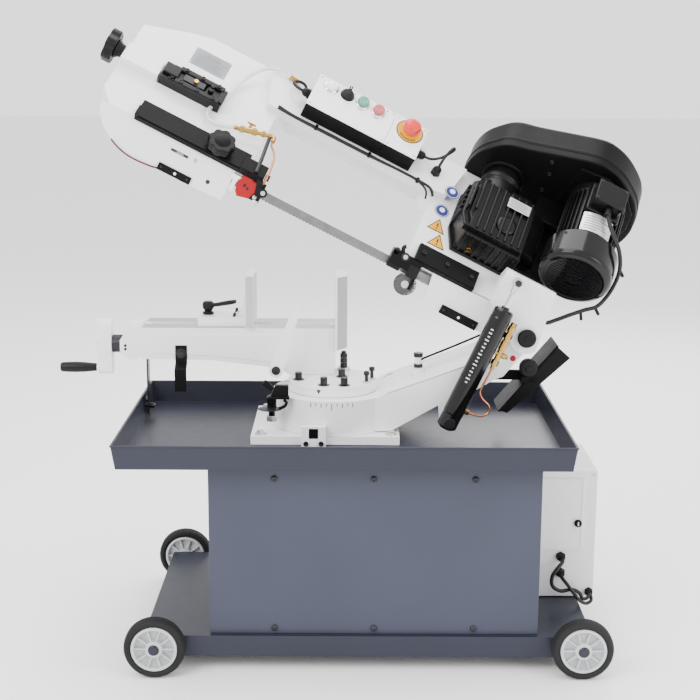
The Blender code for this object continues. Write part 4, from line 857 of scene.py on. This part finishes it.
# ---------------------------------------------------------------- bow: plates, labels, hose and leads
def bow_trim():
    plate = [bx(-908, -824, 70, 121, 34.2, 35.4, 0.4, 2)]
    ink = [bx(-900 + 3 * (k % 2), -834 - 6 * (k % 3), 76 + 4.6 * k, 78.2 + 4.6 * k, 35.3, 35.7, 0, 1) for k in range(6)]
    ink += [bx(-900, -832, 103.5, 104.3, 35.3, 35.7, 0, 1), bx(-884, -846, 107, 115, 35.3, 35.7, 0, 1)]
    riv = [pan_screw((x, y, 35.2), (0, 0, 1), 1.8, 1.0) for x in (-905, -827) for y in (73, 118)]
    make("data_plate", "bow", INC, [(plate, PLATE_GREY), (ink, PLATE_INK), (riv, ZINC)])
    # red edging along the lower rim of the idler end, with a near-black band above it painted as a shade line
    rim = [(-969, -36), (-958, -41.5), (-947, -45.5), (-934, -49), (-921, -51), (-906, -51.5), (-893, -51), (-871, -49), (-858, -46.4)]
    for lift, look, name in ((0.0, RED, "rim_red"), (1.9, PAINTED_SHADE, "rim_shade_line")):
        band = [(x, z + lift) for x, z in rim] + [(x, z + lift + 1.5) for x, z in reversed(rim)]
        make(name, "bow", BOW, [([prism("xz", band, -23.4 - 0.2 * lift, -20.2, 0.0)], look)])
    # upright parts on the bow's lower skirt
    strip = [bx(-858, -782, -24.6, -20.2, -46, -30, 0.8)]
    dot = [cy((-818, -24.8, -38), (-818, -25.6, -38), 3.0, 20, 0.2)]
    sc = [pan_screw((x, -24.4, -38), (0, -1, 0), 2.6, 1.4) for x in (-850, -790)]
    label = [bx(-848, -808, -20.6, -20.0, 2, 8, 0.1, 1)]
    marks = [bx(-834 + 4 * k, -831.6 + 4 * k, -20.9, -20.5, 3.6, 6.4, 0, 1) for k in range(4)]
    # near-black disc painted as the shade inside a hole
    hole = [lathe(rounded([(0, 0), (4.8, 0), (4.8, 0.8), (0, 0.8)], 0.2), (-749, -20.1, -22), (-749, -21, -22), 28)]
    knob = [pan_screw((-792, -20.2, 6), (0, -1, 0), 4.4, 2.4)]
    make("skirt_trim", "bow", BOW, [(strip, SATIN_BLACK), (dot, LABEL_WHITE), (sc, BLACK_OXIDE), (label, LABEL_BLACK), (marks, SILVER), (hole, PAINTED_SHADE), (knob, ZINC)])
    # blade cover over the drive end, with its strip
    strip = [bx(-184, -96, -29.2, -24.8, -64 + 19, -45 + 20, 0.8)]
    dot = [cy((-140, -29.4, -35), (-140, -30.2, -35), 3.0, 20, 0.2)]
    sc = [pan_screw((x, -29, -35), (0, -1, 0), 2.8, 1.5) for x in (-176, -104)]
    make("cover_trim", "bow", BOW, [(strip, SATIN_BLACK), (dot, LABEL_WHITE), (sc, BLACK_OXIDE)])

    # labels: two blue discs, two yellow triangles, plain marks
    blue, white, yellow, black = [], [], [], []
    for x, w, m in ((-264, 68.5, 54.7), (-267, 25, 34.1)):
        blue.append(cy((x, w, m), (x, w, m + 0.5), 17, 48, 0.1))
        white.append(ribbon("xy", arc(x, w, 15.4, 0, 354, 60), m + 0.4, m + 0.7, 1.0))
        white.append(cy((x, w + 2.5, m + 0.4), (x, w + 2.5, m + 0.8), 6.5, 32, 0.1))
    for x, w in ((-264, -21), (-251, -61)):
        yellow.append(prism("xy", [(x - 17, w - 12), (x + 17, w - 12), (x, w + 18)], 34.5, 34.8))
        black.append(prism("xy", [(x - 21, w - 14.5), (x + 21, w - 14.5), (x, w + 22.5)], 34.1, 34.6))
        black += [bx(x - 1.6, x + 1.6, w - 2.5, w + 8, 34.7, 35.0, 0, 1), cy((x, w - 7, 34.7), (x, w - 7, 35.0), 2.0, 20, 0.1)]
    make("plain_labels", "bow", INC, [(blue, BLUE), (white, LABEL_WHITE), (yellow, YELLOW), (black, LABEL_BLACK)])

    # rear cover knobs
    knobs = [lathe(rounded([(0, 0), (15, 0), (16, 3), (14, 14), (9, 17), (0, 17)], 1.8, 4), (x, 0, -23.9), (x, 0, -24.9), 40) for x in (-877, -136)]
    make("cover_knobs", "bow", INC, [(knobs, PLASTIC)])

    # leads along the beam's lower edge, their forks and the loop behind the control box
    lead = [sweep([(-690, 56, 57.6), (-660, 50.5, 58.6), (-560, 50, 58.8), (-440, 50, 58.8), (-340, 50.5, 58.6), (-312, 48, 56), (-300, 40, 45)], 3.1, 12, step=8),
            sweep([(-690, 50, 57.2), (-640, 47.6, 57.4), (-480, 47.4, 57.6), (-340, 47.8, 57.4), (-318, 40, 50), (-312, 30, 38)], 2.4, 12, step=8)]
    clips = [bx(x, x + 7, 44, 56, 54, 63, 1.6) for x in (-600, -470, -350)]
    make("beam_leads", "bow", INC, [(lead, CABLE), (clips, PLASTIC)])
    left = [hexa((-640, 111, 77), (-646, 111, 77), 12, 0.8), lathe(rounded([(0, 0), (10, 0), (10, 7), (7, 12), (4, 14), (0, 14)], 1.0), (-646, 111, 77), (-647, 111, 77), 32)]
    right = [hexa((-373, 104, 77), (-367, 104, 77), 12, 0.8), lathe(rounded([(0, 0), (10, 0), (10, 7), (7, 12), (4, 14), (0, 14)], 1.0), (-367, 104, 77), (-366, 104, 77), 32)]
    base = [hexa((-316, 96, 54.6), (-316, 96, 61), 12, 0.8), lathe(rounded([(0, 0), (10, 0), (10, 8), (7, 13), (4, 16), (0, 16)], 1.0), (-316, 96, 61), (-316, 96, 62), 32)]
    loops = [
        sweep([(-655, 111, 77), (-668, 112, 77), (-680, 118, 74), (-684, 128, 70), (-676, 138, 68), (-662, 140, 66), (-650, 132, 60)], 3.4, 14, step=3),
        sweep([(-356, 104, 77), (-340, 106, 78), (-322, 116, 84), (-308, 130, 96), (-302, 140, 104), (-305, 138, 108), (-312, 124, 98), (-316, 104, 84), (-316, 97, 76)], 3.2, 14, step=3),
    ]
    make("panel_leads", "bow", INC, [(left + right + base, PLASTIC), (loops, CABLE)])

    # coolant: clear hose, brass taps, elbow, copper tube, bracket
    hose = [(-700, 146, 60), (-722, 146, 63), (-748, 134, 64), (-768, 112, 60), (-782, 88, 48), (-790, 60, 44), (-800, 25, 43), (-812, -10, 43),
            (-819, -36, 43.5), (-813, -55, 45), (-796, -63, 46.5), (-776, -60, 48.5), (-760, -55, 51), (-748, -50.4, 53)]
    ob = make("coolant_hose", "bow", INC, [(sweep(hose, 4.3, 16, step=5.0), CLEAR)])
    nip = [cy((-698, 146, 60), (-684, 146, 58), 5.6, 28, 0.6), hexa((-686, 146, 58.4), (-676, 146, 57), 8, 0.7)]
    a, d = Vector((-752, -51.6, 52.6)), Vector((0.95, 0.22, 0.1)).normalized()
    brass = [
        cy(a, a + d * 20, 5.2, 28, 0.5), hexa(a + d * 12, a + d * 22, 8.0, 0.7), cy(a + d * 22, a + d * 40, 6.4, 30, 0.8),
        hexa(a + d * 40, a + d * 50, 8.2, 0.7), cy(a + d * 50, a + d * 78, 5.0, 28, 0.6), hexa(a + d * 60, a + d * 68, 7.4, 0.6),
        cy(a + d * 31 + Vector((0, 4, 0)), a + d * 31 + Vector((0, 14, 3)), 3.6, 24, 0.5), bx(-732, -712, -30, -26.5, 58, 63, 1.2),
    ]
    e = a + d * 78
    elbow = [sweep([e, e + d * 6, e + d * 11 + Vector((0, -6, 0)), e + d * 12 + Vector((0, -16, 0))], 4.6, 16, step=2)]
    tube = [e + d * 12 + Vector((0, -12, 0)), e + d * 12 + Vector((0, -22, -2)), Vector((-650, -75, 60)), Vector((-644, -100, 62.5)), Vector((-641, -128, 63)), Vector((-641, -142, 62.5)), Vector((-641, -148.5, 57)), Vector((-641, -149.5, 48))]
    arm_ = [sweep([(-676, -28, 60), (-673, -60, 60), (-668, -110, 60.5), (-666, -140, 60.5)], 4.2, 12, step=8, flat=0.5)]
    make("coolant_tap", "bow", INC, [(nip + brass + elbow, BRASS), (sweep(tube, 2.4, 14, step=3), COPPER), (arm_, BLACK_OXIDE)])


# ---------------------------------------------------------------- controls
def controls():
    seam, face = -451.0, (-640.0, -373.0)
    strip = [bx(face[0] + 1, seam - 1, 60.6, 63.4, 58, 97, 0.9, 2), bx(seam + 1, face[1] - 1, 60.6, 63.4, 58, 97, 0.9, 2)]
    make("box_edge", "bow", INC, [(strip, SATIN_BLACK)])
    scr = [pan_screw((x, w, 99.8), (0, 0, 1), 3.0, 1.6) for x in (-634, -458, -444, -379) for w in (69, 153)]
    ring = lathe(rounded([(13, 0), (17.5, 0), (17.5, 2.2), (15, 4), (13, 4)], 0.7), (-606, 138, 99.9), (-606, 138, 100.9), 40)
    lens = lathe(rounded([(0, 0), (13.4, 0), (13.4, 6), (11, 9.4), (5, 10.6), (0, 10.8)], 0.8, 4), (-606, 138, 100), (-606, 138, 101), 40)
    bezels = [lathe(rounded([(13.5, 0), (17.2, 0), (17.2, 2.0), (15.6, 3.9), (13.5, 3.9)], 0.7), (x, 138, 99.9), (x, 138, 100.9), 40) for x in (-529, -491)]
    dial = lathe(rounded([(9, 0), (16.6, 0), (16.6, 0.4), (9, 0.4)], 0.1), (-567, 138, 99.9), (-567, 138, 100.9), 40)
    ticks = []
    for k in (-45, 0, 45):
        t = bx(-0.7, 0.7, 17.8, 21.5, 99.9, 100.3, 0, 1)
        t.transform(Matrix.Translation((-567, 138, 0)) @ Matrix.Rotation(math.radians(k), 4, "Z"))
        ticks.append(t)
    ticks += [bx(-535, -523, 116.5, 118, 99.9, 100.3, 0, 1), bx(-497, -485, 116.5, 118, 99.9, 100.3, 0, 1)]
    dots = [cy((-472, 152, 99.9), (-472, 152, 100.3), 2.0, 20, 0.1)]
    green = [cy((-384, 120, 99.9), (-384, 120, 100.3), 2.4, 20, 0.1)]
    make("panel_fittings", "bow", INC, [(scr, ZINC), ([ring, *bezels], CHROME), (lens, LAMP), ([dial, *ticks], LABEL_BLACK), (dots, RED_CAP), (green, GREEN_CAP)])
    plate = lathe(rounded([(11, 0), (31.5, 0), (31.5, 0.8), (11, 0.8)], 0.2), (-409, 128, 99.95), (-409, 128, 100.95), 64)
    disc = lathe(rounded([(11, 0), (29, 0), (29, 1.4), (11, 1.4)], 0.3), (-409, 128, 100.0), (-409, 128, 101.0), 64)
    marks = []
    for k in range(-5, 6):
        t = bx(-1.2, 1.2, -26.4, -22.4, 101.2, 101.7, 0, 1)
        t.transform(Matrix.Translation((-409, 128, 0)) @ Matrix.Rotation(math.radians(9 * k), 4, "Z"))
        marks.append(t)
    make("estop_ring", "bow", INC, [(plate, LABEL_BLACK), (disc, YELLOW), (marks, LABEL_BLACK)])
    cap = lathe(rounded([(0, 0), (8, 0), (8, 24.2), (12, 26.4), (20, 27), (20.6, 31), (19.6, 38), (16.5, 43), (10, 45.4), (0, 46)], 1.6, 4),
                (-409, 128, 84), (-409, 128, 85), 56)
    make("estop_mushroom", "estop_button", INC, [(cap, RED_CAP)], stands=("estop_button",))
    for name, x, mat in (("start", -529, GREEN_CAP), ("stop", -491, PINK_CAP)):
        cap = lathe(rounded([(0, 0), (8, 0), (8, 20.2), (12.6, 20.2), (12.8, 24), (12, 27.4), (8, 28.2), (7, 27.4), (0, 27.2)], 0.6), (x, 138, 84), (x, 138, 85), 44)
        make(f"{name}_cap", f"{name}_button", INC, [(cap, mat)], stands=(f"{name}_button",))
    base = lathe(rounded([(0, 0), (8, 0), (8, 16.6), (14.6, 16.6), (14.6, 20), (13, 24), (0, 24.4)], 0.8), (-567, 138, 84), (-567, 138, 85), 44)
    bar = prism("xy", [(-571, 126), (-570, 124.6), (-564, 124.6), (-563, 126), (-563.5, 150), (-565.4, 152.6), (-568.6, 152.6), (-570.5, 150)], 106, 119, 1.4)
    tip = bx(-567.6, -566.4, 143, 151.4, 118.6, 119.4, 0.2, 1)
    make("selector_knob", "selector", INC, [([base, bar], PLASTIC), (tip, LABEL_WHITE)], stands=("selector",))


# ---------------------------------------------------------------- gearbox, motor, belt guard
WX, WM, MX, MM_ = -172.0, 66.0, 32.0, 150.0


def drive():
    outline = [(-214, -60), (-78, -60), (-78, 88), (-100, 112), (-205, 112), (-236, 86), (-236, -10)]
    case = prism("xy", outline, 34.9, 104, 5.0, 4)
    top = prism("xy", [(-206, -40), (-92, -40), (-92, 78), (-112, 96), (-200, 96), (-222, 76), (-222, -6)], 102, 112, 3.0)
    flange = prism("xy", [(-221, -66), (-72, -66), (-72, 92), (-98, 117), (-207, 117), (-242, 88), (-242, -13)], 34.9, 44, 2.0)
    fins = []
    for k in range(9):
        x = -231 + 16.6 * k
        fins.append(bx(x, x + 5.5, -46 if x > -214 else 2, 88 if x > -222 else 74, 100, 122, 1.6))
    for k in range(8):
        x = -208 + 16.6 * k
        fins.append(bx(x, x + 5.5, -65, -56, 46, 108, 1.6))
    for k in range(6):
        fins.append(bx(-242, -232, -6 + 15 * k, -0.5 + 15 * k, 46, 100, 1.6))
    rib = [bx(-224, -84, -50, -44, 98, 118, 1.8), bx(-212, -88, -44, 80, 108, 115, 1.4)]
    # thick shelf the motor stands on, with a web up the side of the case
    rib.append(prism("xy", [(-90, -52), (34, -52), (46, -30), (46, 70), (10, 158), (-90, 158)], 36, 62, 3.0, 3))
    rib.append(prism("xz", [(-84, 50), (-36, 50), (-50, 92), (-84, 104)], -30, 84, 2.5, 3))
    rib.append(bx(-84, -20, 88, 156, 58, 88, 4.0, 3))
    neck = lathe(rounded([(11, 0), (40, 0), (40, 30), (46, 36), (46, 46), (38, 50), (38, 73), (11, 73)], 2.0), (WX, 92, WM + 8), (WX, 93, WM + 8), 56)
    cap = lathe(rounded([(0, 0), (24, 0), (24, 6), (18, 9), (0, 9)], 1.6), (-136, 0, 112), (-136, 0, 113), 44)
    bolts = []
    for x, y in ((-228, 84), (-206, 110), (-104, 110), (-80, 86), (-80, -58), (-212, -56)):
        bolts.append(socket_screw((x, y, 44), (0, 0, 1), 5.2, 5.5))
    for k in range(4):
        a = math.radians(45 + 90 * k)
        bolts.append(socket_screw((WX + 42 * math.cos(a), 128, WM + 8 + 42 * math.sin(a)), (0, -1, 0), 4.0, 4.0))
    tag = [bx(-151, -98, 46, 74, 122.2, 123.2, 0.3, 2)]
    ink = [bx(-146, -104 - 5 * (k % 2), 51 + 5.5 * k, 52.6 + 5.5 * k, 123.1, 123.4, 0, 1) for k in range(4)]
    plug = [hexa((-186, -66, 70), (-186, -72, 70), 8, 0.7)]
    make("gear_housing", "bow", INC, [([case, top, flange, neck, cap, *fins, *rib], BLACK), (bolts, BLACK_OXIDE), (tag, SILVER), (ink, PLATE_INK), (plug, BRASS)],
         stands=("gearbox",))

    # motor: finned stator, cowl with a slotted end, terminal box
    a, b = (MX, -80, MM_), (MX, -79, MM_)
    cowl = lathe(rounded([(24, 2.4), (60, 2.4), (62, 0.8), (66, 0.4), (73, 3.2), (78.4, 9), (79.6, 17), (79.6, 66), (79.6, 73.4), (76, 74), (66, 74), (66, 68), (24, 68)], 1.8, 4), a, b, 96)
    # near-black disc behind the cowl's slots: painted shade of the cowl's interior
    dark = lathe([(0, 7.5), (66, 7.5), (66, 9), (0, 9)], a, b, 64)
    bars = []
    for k in range(-8, 9):
        h = 7.4 * k
        half = math.sqrt(max(0.0, 64.0**2 - h * h))
        bars.append(bx(MX - half, MX + half, -78.6, -75.4, MM_ + h - 1.5, MM_ + h + 1.5, 0.8, 2))
    bars += [lathe(rounded([(r_, 1.6), (r_ + 3, 1.6), (r_ + 3, 4.6), (r_, 4.6)], 0.6), a, b, 64) for r_ in (60,)]
    stator = lathe(rounded([(10, 72), (59, 72), (59, 210), (64, 213), (64, 234), (58, 240), (58, 245), (10, 245)], 1.6), a, b, 80)
    fins = []
    for k in range(36):
        t = 360 * k / 36
        if 55 < t < 125:
            continue
        f = bx(57, 65.8, -8, 132, -1.3, 1.3, 0.7, 2)
        f.transform(Matrix.Translation((MX, 1, MM_)) @ Matrix.Rotation(math.radians(-t), 4, "Y"))
        fins.append(f)
    box_ = bx(MX - 34, MX + 32, 74, 130, MM_ + 50, MM_ + 88, 4.0, 4)
    lid = bx(MX - 36, MX + 34, 72, 132, MM_ + 86, MM_ + 95, 2.4)
    seat = bx(MX - 40, MX + 38, 62, 142, MM_ + 40, MM_ + 66, 4.0)
    scr = [pan_screw((MX + x, y, MM_ + 94.8), (0, 0, 1), 3.0, 1.8) for x in (-30, 28) for y in (78, 126)]
    scr += [pan_screw((MX + 79.6 * math.cos(t), -16, MM_ + 79.6 * math.sin(t)), (math.cos(t), 0, math.sin(t)), 3.6, 2.2) for t in (math.radians(140), math.radians(-40))]
    band = [(MX + r_ * math.sin(math.radians(t)), MM_ + r_ * math.cos(math.radians(t))) for r_, ts in ((67.6, range(-34, 27, 4)), (66.2, range(26, -35, -4))) for t in ts]
    tag = [prism("xz", band, 6, 58, 0.0)]
    rivets = [pan_screw((MX + 67.6 * math.sin(math.radians(t)), w, MM_ + 67.6 * math.cos(math.radians(t))), (math.sin(math.radians(t)), 0, math.cos(math.radians(t))), 1.6, 1.0) for t in (-30, 22) for w in (11, 53)]
    rows = []
    for k in range(6):
        t0, t1 = -28, (8, 18, 2, 14, 18, -4)[k]
        w = 48 - 7.0 * k
        lo_ = [(MX + 67.9 * math.sin(math.radians(t)), MM_ + 67.9 * math.cos(math.radians(t))) for t in range(t0, t1 + 1, 4)]
        hi_ = [(MX + 67.3 * math.sin(math.radians(t)), MM_ + 67.3 * math.cos(math.radians(t))) for t in range(t1, t0 - 1, -4)]
        rows.append(prism("xz", lo_ + hi_, w - 1.1, w + 1.1, 0.0))
    foot = [bx(MX - 48, MX + 14, w0, w0 + 26, 62.4, 94, 3.0) for w0 in (0, 122)]
    foot += [bx(MX - 50, MX + 12, w0 - 4, w0 + 30, 62.4, 70, 2.0) for w0 in (0, 122)]
    gl = [hexa((37, 72, 230), (37, 62, 230), 8, 0.8), lathe(rounded([(0, 0), (7.4, 0), (7.4, 5), (5.2, 9), (0, 9)], 1.0), (37, 62, 230), (37, 61, 230), 30)]
    make("motor_body", "bow", INC, [([cowl, *bars], GLOSS_BLACK), (dark, PAINTED_SHADE), ([stator, *fins, box_, lid, seat, *foot], BLACK), (scr, BLACK_OXIDE), (tag, SILVER), (rows, PLATE_INK), (rivets, ZINC), (gl, PLASTIC)],
         stands=("motor",))

    def round_loop(pts, n=4):
        """Smooth closed outline through the points."""
        out = []
        for i in range(len(pts)):
            p0, p1, p2, p3 = (Vector(pts[(i + k) % len(pts)]) for k in (-1, 0, 1, 2))
            if (p2 - p1).length > 150:
                out.append((p1.x, p1.y))
                continue
            m1 = (p2 - p0) * 0.5 * min(1.0, (p2 - p1).length / max(1e-6, (p1 - p0).length)) if (p1 - p0).length > 150 else (p2 - p0) * 0.5
            m2 = (p3 - p1) * 0.5 * min(1.0, (p2 - p1).length / max(1e-6, (p3 - p2).length)) if (p3 - p2).length > 150 else (p3 - p1) * 0.5
            for k in range(n):
                t = k / n
                q = (2 * t**3 - 3 * t**2 + 1) * p1 + (t**3 - 2 * t**2 + t) * m1 + (3 * t**2 - 2 * t**3) * p2 + (t**3 - t**2) * m2
                out.append((q.x, q.y))
        return out

    shell = round_loop([
        (-205, 168), (-230, 140), (-252, 98), (-258, 50), (-250, 12), (-229, -14), (-202, -25),
        (70, -16), (104, -5), (128, 22), (138, 58), (139, 96), (133, 126), (118, 165), (94, 196),
        (52, 228), (12, 243), (-24, 242), (-90, 216), (-159, 186),
    ])
    cx = sum(p[0] for p in shell) / len(shell)
    cm = sum(p[1] for p in shell) / len(shell)

    def grown(k):
        out = []
        for x, m in shell:
            v = Vector((x - cx, m - cm))
            v = v * (1 + k / v.length)
            out.append((cx + v.x, cm + v.y))
        return out

    def solid_between(rings):
        """Skin over (outline, w) rings with closed ends."""
        bm = bmesh.new()
        rows = [[bm.verts.new((x, w, m)) for x, m in ring] for ring, w in rings]
        n = len(rows[0])
        for p, q in zip(rows, rows[1:]):
            for i in range(n):
                j = (i + 1) % n
                bm.faces.new((p[i], q[i], q[j], p[j]))
        bm.faces.new(rows[0])
        bm.faces.new(rows[-1][::-1])
        bmesh.ops.recalc_face_normals(bm, faces=bm.faces)
        return bm

    lid = [(grown(-3), 186.4), (grown(0), 186.4), (grown(1.2), 188), (grown(1.2), 192), (grown(-0.4), 194)]
    for k in range(0, 9):
        t = math.radians(90 * k / 8)
        lid.append((grown(-0.6 - 15 * (1 - math.cos(t))), 235 + 15 * math.sin(t)))
    handle = prism("xz", [(-30, 20), (10, 34), (6, 46), (-34, 32)], 249, 253, 1.4)
    make("guard_lid", "belt_lid", INC, [([solid_between(lid), handle], GUARD)], angle=50, stands=("belt_lid",))
    back = [(grown(-9), 165.6), (grown(-3), 165.6), (grown(-1.2), 166.4), (grown(0), 168), (grown(0), 183), (grown(1.6), 184.2), (grown(1.6), 186.1), (grown(-4), 186.1)]
    scr, ringz = [], []
    for x, m in ((-92, 150), (-84, 96), (-104, 186)):
        scr.append(socket_screw((x, 165.8, m), (0, -1, 0), 4.8, 4.4))
    collar = lathe(rounded([(38.4, 0), (50, 0), (50, 7), (46, 9), (38.4, 9)], 1.2), (WX, 165.8, WM + 8), (WX, 164.8, WM + 8), 56)
    plate2 = prism("xz", [(-44, 66), (118, 70), (124, 110), (112, 160), (80, 200), (20, 222), (-44, 214)], 158, 165.8, 2.0)
    make("guard_back", "bow", INC, [([solid_between(back), collar, plate2], GUARD), (scr, BLACK_OXIDE)], angle=50, stands=("belt_guard",))

    lead = [(37, 70, 230), (38, 61, 230), (50, 34, 229), (68, 8, 228), (88, -14, 222), (111, -28, 189), (121, -40, 153), (120, -60, 129),
            (109, -86, 115), (90, -99, 103), (66, -116, 84), (46, -131, 67), (30, -144, 61), (20, -142, 62), (7, -142, 62)]
    stubs = [cy((112, -26, 186), (126, -32, 178), 3.6, 20, 0.6), cy((107, -88, 113), (122, -96, 106), 3.6, 20, 0.6), cy((84, -104, 98), (94, -116, 88), 3.4, 20, 0.6)]
    make("motor_lead", "bow", INC, [(sweep(lead, 4.5, 16, step=5), CABLE), (stubs, PLASTIC)], stands=("motor_cable",))


# ---------------------------------------------------------------- floor and light
def studio():
    bm = bmesh.new()
    bmesh.ops.create_grid(bm, x_segments=1, y_segments=1, size=30)
    me = bpy.data.meshes.new("floor")
    bm.to_mesh(me)
    bm.free()
    floor = bpy.data.objects.new("floor", me)
    SCENE.collection.objects.link(floor)
    m = bpy.data.materials.new("pale_floor")
    m.use_nodes = True
    p = m.node_tree.nodes["Principled BSDF"]
    p.inputs["Base Color"].default_value = (0.98, 0.98, 0.98, 1)
    p.inputs["Roughness"].default_value = 0.6
    me.materials.append(m)
    world = bpy.data.worlds.new("studio")
    SCENE.world = world
    world.use_nodes = True
    # studio sweep: bright round the horizon, dimmer overhead, the same from every side
    nodes, links = world.node_tree.nodes, world.node_tree.links
    bg = nodes["Background"]
    coord = nodes.new("ShaderNodeTexCoord")
    split = nodes.new("ShaderNodeSeparateXYZ")
    ramp = nodes.new("ShaderNodeValToRGB")
    e = ramp.color_ramp.elements
    e[0].position, e[0].color = 0.02, (1.0, 1.0, 1.0, 1)
    e[1].position, e[1].color = 0.50, (0.88, 0.88, 0.88, 1)
    links.new(coord.outputs["Generated"], split.inputs["Vector"])
    links.new(split.outputs["Z"], ramp.inputs["Fac"])
    links.new(ramp.outputs["Color"], bg.inputs["Color"])
    bg.inputs["Strength"].default_value = 1.9

    def area(name, at, to, size, power):
        light = bpy.data.lights.new(name, "AREA")
        light.shape, light.size, light.energy = "SQUARE", size, power
        ob = bpy.data.objects.new(name, light)
        SCENE.collection.objects.link(ob)
        ob.location = at
        ob.rotation_euler = (Vector(to) - Vector(at)).to_track_quat("-Z", "Y").to_euler()

    area("key", (-2.2, -2.6, 3.0), (0, 0, 0.7), 2.2, 150)
    area("fill", (2.8, -2.2, 1.8), (0, 0, 0.6), 2.0, 72)
    area("top", (0, 0.4, 3.6), (0, 0, 0.6), 2.4, 96)
    area("rim", (1.2, 3.0, 2.4), (0, 0, 0.7), 2.0, 70)


for node, (mat, bevel) in KEEP.items():
    finish_node(node, mat, bevel)
floor_wheels()
cabinet()
vise()
arm()
blade()
tension()
bow_trim()
controls()
drive()
studio()
